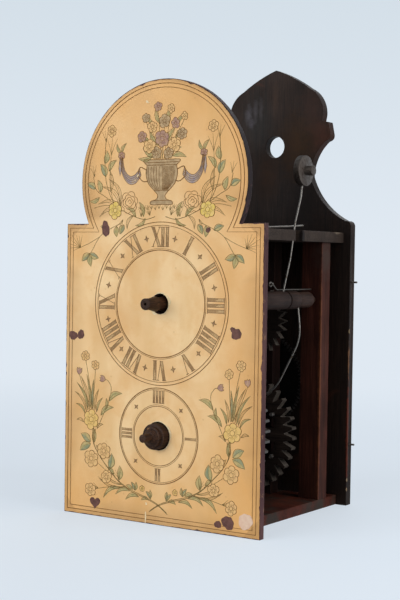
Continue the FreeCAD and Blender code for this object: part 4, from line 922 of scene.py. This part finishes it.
# Sprays in the arch, sprigs on the shoulders
draw_sprays(
    (-1.5, 0.0),
    stems=((0.5, ((4, 231), (14, 229), (28, 233), (42, 241), (50, 256), (52, 274), (51, 291))),
           (0.45, ((42, 241), (52, 247), (60, 252), (63, 262))),
           (fine_pen, ((44, 244), (47, 258), (46, 280))), (fine_pen, ((36, 238), (50, 240), (62, 238))),
           (plain_pen, ((36, 226), (46, 222), (56, 216), (63, 206), (66, 202))),
           (fine_pen, ((56, 216), (66, 211), (77, 207)))),
    roses=((28, 242, 8.2),),
    flowers=((45.5, 296.5, 4.4, pale, 6), (41.5, 236, 6.6, yellow, 6)),
    leaves=((51, 262, 11, 5.5, 62, blue, 0.1), (61, 253, 9, 5, 25, blue, 0.1),
            (56, 250, 10, 4.5, 75, green, 0.1), (52, 272, 10, 5, 100, green, 0.1),
            (48, 266, 11, 4, 130, green, -0.15), (57, 246, 10, 3.2, 345, green, -0.15),
            (22, 231, 11, 3, 40, green, 0.15), (15, 231, 12, 3, 70, green, 0.15),
            (13, 230, 11, 2.4, 330, green, -0.2), (24, 232, 12, 2.4, 300, None, 0.2),
            (36, 237, 26, 3.2, 42, None, 0.2), (37, 239, 24, 2.8, 62, None, 0.2),
            (35, 235, 24, 2.8, 14, None, 0.22), (36, 234, 21, 2.8, 352, None, 0.22),
            (46, 250, 16, 2.6, 88, None, 0.1),
            (66, 203, 9.5, 4.8, 200, blue, 0.06), (66, 203, 10, 4.8, 262, green, 0.06),
            (66, 203, 9.5, 4.8, 322, blue, 0.06), (33, 225, 8, 4.4, 300, blue, 0.06),
            (47, 221, 9, 4.6, 20, blue, 0.06), (40, 224, 8, 4.4, 270, green, 0.06)),
    tufts=((9, 232, 8, 75, 5), (17, 231, 8, 95, 4), (46, 278, 14, 94, 3), (51, 288, 10, 84, 3),
           (62, 262, 9, 80, 3), (34, 229, 9, 300, 3), (75, 207.5, 13, 40, 8)))

# Urn with a bouquet and a hanging cloth, in the middle of the arch
urn = flowing([(0, 240), (9.5, 240), (9.5, 242.5), (4.6, 244), (3.4, 247), (6.2, 250), (12.2, 256),
               (14.4, 263), (13.6, 269), (15.6, 271), (15.6, 273.4), (0, 273.4)], 6)
urn += [(-x, z) for x, z in urn[-2:0:-1]]
wash("urn_tone", urn)
ink("line", closed(urn), firm_pen)
for z, half in ((243.0, 6.5), (250.5, 6.6), (269.4, 13.6), (271.4, 15.4)):
    ink("line", [(-half, z), (half, z)], plain_pen)
for i in range(15):
    x = -12.4 + 2.5 * i if i < 5 else 1.0 + 1.15 * (i - 5)
    ink("line", flowing([(x * 0.45, 251), (x * 0.88, 256.4), (x, 263), (x * 0.96, 268.5)]), hair_pen)
for side in (-1, 1):
    handle, top, low, tassel = ([(side * x, z) for x, z in route] for route in (
        ((14.2, 266), (20, 268), (21.5, 262), (17, 257.5), (12.6, 257.6)),
        ((20.4, 267), (25, 262.5), (30, 262), (34.5, 267), (36.5, 276)),
        ((38.5, 275), (37, 264.5), (31.5, 256.5), (24.5, 256), (19, 262)),
        ((36.2, 276), (39.2, 276), (40.2, 268), (38.8, 262), (37.2, 268))))
    ink("line", flowing(handle), bold_pen)
    for cloth in (flowing(top, 5) + flowing(low, 5), tassel):
        wash("swag_tone", cloth)
        ink("line", closed(cloth), fine_pen)
    for share in (0.25, 0.5, 0.75):
        ink("line", flowing([(a * (1 - share) + c * share, b * (1 - share) + d * share)
                             for (a, b), (c, d) in zip(top, reversed(low))], 5), hair_pen)
    draw_flower(side * 37.6, 277.6, 3.0, purple, 6)
    for angle in (60, 120):
        draw_leaf(side * 37.6, 279, 9, 2.4, angle, green)
for x, z, radius, tone, petals in (
        (0, 289, 6.6, purple, 6), (-11.5, 283.5, 5.6, pale, 6), (11, 284, 5.8, pale, 5),
        (-5, 278.5, 4.6, grey, 5), (6, 278, 4.4, grey, 5), (-18.5, 291, 4.2, purple, 5),
        (18, 292, 4.4, grey, 6), (2, 302, 5.2, grey, 5),
        (-9, 298, 4.4, pale, 5), (12, 300, 4.0, purple, 5), (-4, 313, 3.6, purple, 5), (8, 311, 3.4, pale, 6),
        (-15, 305, 3.6, grey, 5), (20, 305, 3.0, pale, 5)):
    draw_flower(x, z, radius, tone, petals)
    draw_stem([(x * 0.25, 274), (x * 0.6, (274 + z) / 2), (x, z - radius * 0.8)], fine_pen)
for x, z, length, width, angle in (
        (-4, 276, 15, 3.4, 155), (4, 276, 15, 3.4, 25), (-3, 284, 15, 3.2, 125), (4, 285, 14, 3.2, 58),
        (-2, 300, 13, 3, 108), (4, 302, 12, 3, 62), (-12, 288, 11, 3, 140), (12, 289, 11, 3, 40),
        (-9, 276, 13, 3.4, 185), (9, 276, 13, 3.4, -5), (-8, 300, 11, 2.6, 128), (13, 298, 11, 2.6, 50)):
    draw_leaf(x, z, length, width, angle, green, 0.12)
for i in range(12):
    draw_tuft(-19 + 3.4 * i, 236.4 + 0.7 * math.sin(3 * i), 3.6, 90 - 3 * (i - 6), 3, 26)

# Blots, scraps and bare chips, none below the board's lower edge
random.seed(7)
lowest_chip = 0.4


def ragged(x, z, radius, rough, count, stretch):
    """A blot's uneven outline."""
    phase = [random.uniform(0, 6.28) for i in range(3)]
    points = []
    for i in range(count):
        angle = 2 * math.pi * i / count
        r = radius * (1 + rough * (math.sin(2 * angle + phase[0]) + 0.6 * math.sin(3 * angle + phase[1])
                                   + 0.5 * math.sin(7 * angle + phase[2])))
        points.append((x + r * math.cos(angle), z + stretch * r * math.sin(angle)))
    return points


for x, z, radius, stretch in (
        (-82.6, 139, 3.7, 1.0), (-75, 140, 3.1, 1.2), (68, 146, 4.0, 1.0), (65, 149, 2.2, 1.0),
        (63, 9.4, 5.0, 1.0), (54.4, 7.2, 2.8, 1.0), (-52, 222, 3.7, 1.55), (42.2, 221, 2.0, 1.0)):
    wash("blot", ragged(x, z, radius, 0.10, 28, stretch))
heart = [2 * math.pi * i / 40 for i in range(40)]
wash("blot", [(-59 + 5 * math.sin(t) ** 3, 10.6 + 4 * math.cos(t) - 1.55 * math.cos(2 * t)
               - 0.62 * math.cos(3 * t) - 0.31 * math.cos(4 * t)) for t in heart])
wash("scrap", ragged(78, 12, 5.6, 0.08, 30, 1.1))
for x, z, radius, stretch in ((-10.5, 4.6, 0.7, 5.6), (-10, 15, 0.9, 1.0), (-22, 262, 0.7, 1.5),
                              (-24.5, 258.5, 0.6, 1.0), (-14, 317, 1.5, 0.6)):
    wash("chip", [(across, max(up, lowest_chip)) for across, up in ragged(x, z, radius, 0.3, 14, stretch)])
for centre, radius, wide in ((hour_centre, hour_hole, 2.2), (quarter_centre, quarter_hole, 1.6)):
    for start in (0, 180):
        outer = []
        inner = []
        for i in range(25):
            angle = start + 7.5 * i
            turn = math.radians(angle)
            swell = (0.55 + 0.3 * math.sin(2 * turn + 1.0) + 0.25 * math.sin(5 * turn)
                     + 0.12 * math.sin(11 * turn))
            outer += turned(*centre, angle, [(radius + wide * max(swell, 0.12), 0)])
            inner += turned(*centre, angle, [(radius + 0.05, 0)])
        wash("chip", outer + inner[::-1])

# Layers from the paper up: the wash or ink, its thin and full tones, how wide it pools and how high it lies
for kind, name, thin, full, pool_mm, rise in (
        ("urn_tone", "urn_wash_grey_brown", "#C0A47C", "#A48A66", 3.5, 0.01),
        ("swag_tone", "swag_wash_violet", "#BAA38C", "#968C90", 3.0, 0.01),
        ("number_tone", "hatched_number_tone", "#C8A878", "#B08F64", 0.8, 0.03),
        ("ornament", "ornament_wash_brown", "#A88A60", "#8C6C50", 1.5, 0.03),
        (green, "leaf_wash_grey_green", "#C4AB74", "#A69D6C", 3.0, 0.03),
        (blue, "leaf_wash_blue_green", "#A19B74", "#838B6C", 2.5, 0.048),
        (pale, "petal_wash_pale", "#DFB47C", "#E0B87C", 4.0, 0.095),
        (grey, "petal_wash_grey_brown", "#C0A47C", "#A48A66", 3.5, 0.104),
        (purple, "petal_wash_purple", "#BA977A", "#9E7A70", 2.0, 0.113),
        (cream, "petal_wash_cream", "#E3BD7A", "#DDB86C", 3.0, 0.122),
        (yellow, "petal_wash_yellow", "#E2C27A", "#DCBE62", 3.0, 0.131),
        ("chip", "bare_chipped_ground", "#E8D4AE", "#DCC294", 1.6, 0.20),
        ("scrap", "pink_paper_scrap", "#E3C6AE", "#DCB89E", 3.0, 0.22),
        ("blot", "purple_brown_blot", "#6E4C44", "#583C36", 2.5, 0.24)):
    washed("dial_wash_" + kind, washes[kind], colour_wash(name, thin, full, pool_mm), rise)
for kind, thin, full, pool_mm, rise in (("line", "#90693A", "#76522C", 1.5, 0.17),
                                        ("number", "#98764F", "#815F40", 1.5, 0.17),
                                        ("stem", "#8C7444", "#705C36", 2.0, 0.08)):
    engraver_ink = colour_wash("engraver_ink_" + kind, thin, full, pool_mm)
    engraved("dial_ink_" + kind, strokes[kind], engraver_ink, rise)


# Paper on the dial: its inset from the board's edge, how ragged that edge is, and the soiled margin
sheet_inset = 0.45
edge_step = 2.2
sheet_middle = (0, 160)
edge_pull = 0.5
nick_share = 0.05
nick_depth = (0.4, 1.3)
longest_edge = 20
soil_width = 2.6
soil_depth = 0.8


def sheet_edge():
    """The sheet's outer edge, in short steps, each pulled in a little by wear."""
    edge = dial_outline(sheet_inset)
    outline = []
    for a, b in zip(edge, edge[1:] + edge[:1]):
        count = max(1, int(math.hypot(b[0] - a[0], b[1] - a[1]) / edge_step))
        outline += [(a[0] + (b[0] - a[0]) * i / count, a[1] + (b[1] - a[1]) * i / count)
                    for i in range(count)]
    worn = []
    for x, z in outline:
        pull = random.uniform(0, edge_pull)
        if random.random() < nick_share:
            pull += random.uniform(*nick_depth)
        across, up = x - sheet_middle[0], z - sheet_middle[1]
        reach = math.hypot(across, up)
        worn.append((x - pull * across / reach, z - pull * up / reach))
    return worn


def soil_at(x, z):
    """How dirty the sheet is at a point: most along its edge."""
    if z >= shoulder_height:
        gap = arch_radius - math.hypot(x, z - arch_centre)
    else:
        gap = min(dial_width / 2 - abs(x), z)
        if abs(x) > neck_half:
            gap = min(gap, shoulder_height - z)
    return max(0.0, 1 - gap / soil_width) * soil_depth


def printed_sheet():
    """The paper on the dial: a thin plate a little inside the board's edge, with both holes."""
    shape = bmesh.new()
    edges = []
    holes = [circle(*hour_centre, hour_hole, 56), circle(*quarter_centre, quarter_hole, 64)]
    for loop in [sheet_edge()] + holes:
        verts = [shape.verts.new((x * MM, z * MM, 0)) for x, z in loop]
        edges += [shape.edges.new((verts[i], verts[(i + 1) % len(verts)])) for i in range(len(verts))]
    bmesh.ops.triangle_fill(shape, use_beauty=True, use_dissolve=False, edges=edges)
    long_edges = [e for e in shape.edges if e.calc_length() > longest_edge * MM]
    bmesh.ops.subdivide_edges(shape, edges=long_edges, cuts=3, use_grid_fill=True)
    for v in shape.verts:
        v.co.z = 0
    bmesh.ops.triangulate(shape, faces=shape.faces)
    for part in bmesh.ops.extrude_face_region(shape, geom=shape.faces[:])["geom"]:
        if isinstance(part, bmesh.types.BMVert):
            part.co.z += paper_thickness * MM
    bmesh.ops.recalc_face_normals(shape, faces=shape.faces)
    mesh = plain_mesh(shape, "printed_sheet")
    soil = [soil_at(v.co.x / MM, v.co.y / MM) for v in mesh.vertices]
    mesh.attributes.new("soil", "FLOAT", "POINT").data.foreach_set("value", soil)
    new_piece("printed_dial_sheet", on_face(mesh, 0), [sheet_paper], "case", ())


printed_sheet()

# Nails that hold the top board, forged heads driven almost flush, set in from its sides, front and back
nail_side = 9
nail_front = 40
nail_rear = 25
top_low, top_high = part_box("top_board")
nail_points = path_mesh([[Vector((x, y, top_high.z))]
                         for x in (top_low.x + nail_side * MM, top_high.x - nail_side * MM)
                         for y in (top_low.y + nail_front * MM, top_high.y - nail_rear * MM)])
nail_heads = grown(nail_tree, nail_points, Radius=nail_radius * MM, Aim=(0, 0, 1), Material=nail_iron)
new_piece("top_board_nails", nail_heads, [nail_iron], "case", ())
hinges = frame["nodes"]["door_hinge_wires"].data
hinges.materials.clear()
hinges.materials.append(wire_iron)

# Stage: a pale floor that fades into the pale sky, so that no edge or horizon shows
sky_low = "#E0E9F2"
sky_high = "#D4DFE8"
floor_lit = "#8F979F"
floor_shown = "#B9C0C7"
floor_half = 15
fade_start = 0.40
fade_end = 1.30


def shown_rays(tree):
    """One for rays that show the backdrop to the eye, straight or by way of metal; none for its light."""
    rays = add(tree, "ShaderNodeLightPath").node.outputs
    either = add(tree, "ShaderNodeMath", {0: rays["Is Camera Ray"], 1: rays["Is Glossy Ray"]})
    return add(tree, "ShaderNodeMath", {0: either, 1: rays["Is Transmission Ray"]}, use_clamp=True)


floor_finish, tree, shader, spot = start_finish("pale_studio_floor", 0.9, specular=0.0)
gap = add(tree, "ShaderNodeVectorMath", {0: spot, 1: place(0, 90, 0)}, "Value", operation="DISTANCE")
fade = add(tree, "ShaderNodeMapRange", {"Value": gap, "From Min": fade_start, "From Max": fade_end},
           interpolation_type="SMOOTHSTEP")
end_finish(tree, shader, Base_Color=tinted(tree, colour(floor_lit), "#000000", fade, 0.0, 1.0),
           Emission_Color=tinted(tree, colour(floor_shown), sky_low, fade, 0.0, 1.0),
           Emission_Strength=shown_rays(tree))
mesh = bpy.data.meshes.new("studio_floor")
corners = [(floor_half * x, floor_half * y, base_z) for x, y in ((-1, -1), (1, -1), (1, 1), (-1, 1))]
mesh.from_pydata(corners, [], [(0, 1, 2, 3)])
mesh.materials.append(floor_finish)
studio = bpy.data.objects.new("studio_floor", mesh)
bpy.context.scene.collection.objects.link(studio)

# Light: a large soft lamp from the front left, weak ones from the right and the back, and an even sky
scene = bpy.context.scene
scene.world = bpy.data.worlds.new("studio_sky")
scene.world.use_nodes = True
tree = scene.world.node_tree
even = tree.nodes["Background"]
even.inputs["Color"].default_value = colour("#E9EFF5")
even.inputs["Strength"].default_value = 0.30
up = add(tree, "ShaderNodeSeparateXYZ", {0: add(tree, "ShaderNodeTexCoord", out="Generated")}, "Z")
sky_tone = tinted(tree, colour(sky_low), sky_high, up, 0.02, 0.20)
backdrop = add(tree, "ShaderNodeBackground", {"Color": sky_tone})
sky = add(tree, "ShaderNodeMixShader", {0: shown_rays(tree), 1: even.outputs[0], 2: backdrop})
tree.links.new(sky, tree.nodes["World Output"].inputs["Surface"])
for name, at, aim, size, power in (("key_lamp", (-600, -1850, 330), (0, 60, 150), 2.2, 56.0),
                                   ("back_lamp", (-500, 1900, 800), (0, 168, 170), 1.6, 16.0),
                                   ("side_lamp", (1250, 60, 620), (0, 90, 150), 1.0, 13.0)):
    lamp = bpy.data.lights.new(name, "AREA")
    lamp.size = size
    lamp.energy = power
    holder = bpy.data.objects.new(name, lamp)
    holder.location = place(*at)
    holder.rotation_euler = (place(*aim) - place(*at)).to_track_quat("-Z", "Y").to_euler()
    scene.collection.objects.link(holder)

# Camera at the photograph's place, fitted to the dial, the posts and the backboard
camera_place = (570.43, -800.26, 196.74)
camera_turn = (88.3997, -0.8580, 33.7721)
lens = bpy.data.cameras.new("camera")
lens.sensor_fit = "HORIZONTAL"
lens.sensor_width = 36.0
lens.lens = 118.506
camera = bpy.data.objects.new("camera", lens)
camera.location = place(*camera_place)
camera.rotation_euler = [math.radians(angle) for angle in camera_turn]
scene.collection.objects.link(camera)
scene.camera = camera
scene.view_settings.view_transform = "Standard"
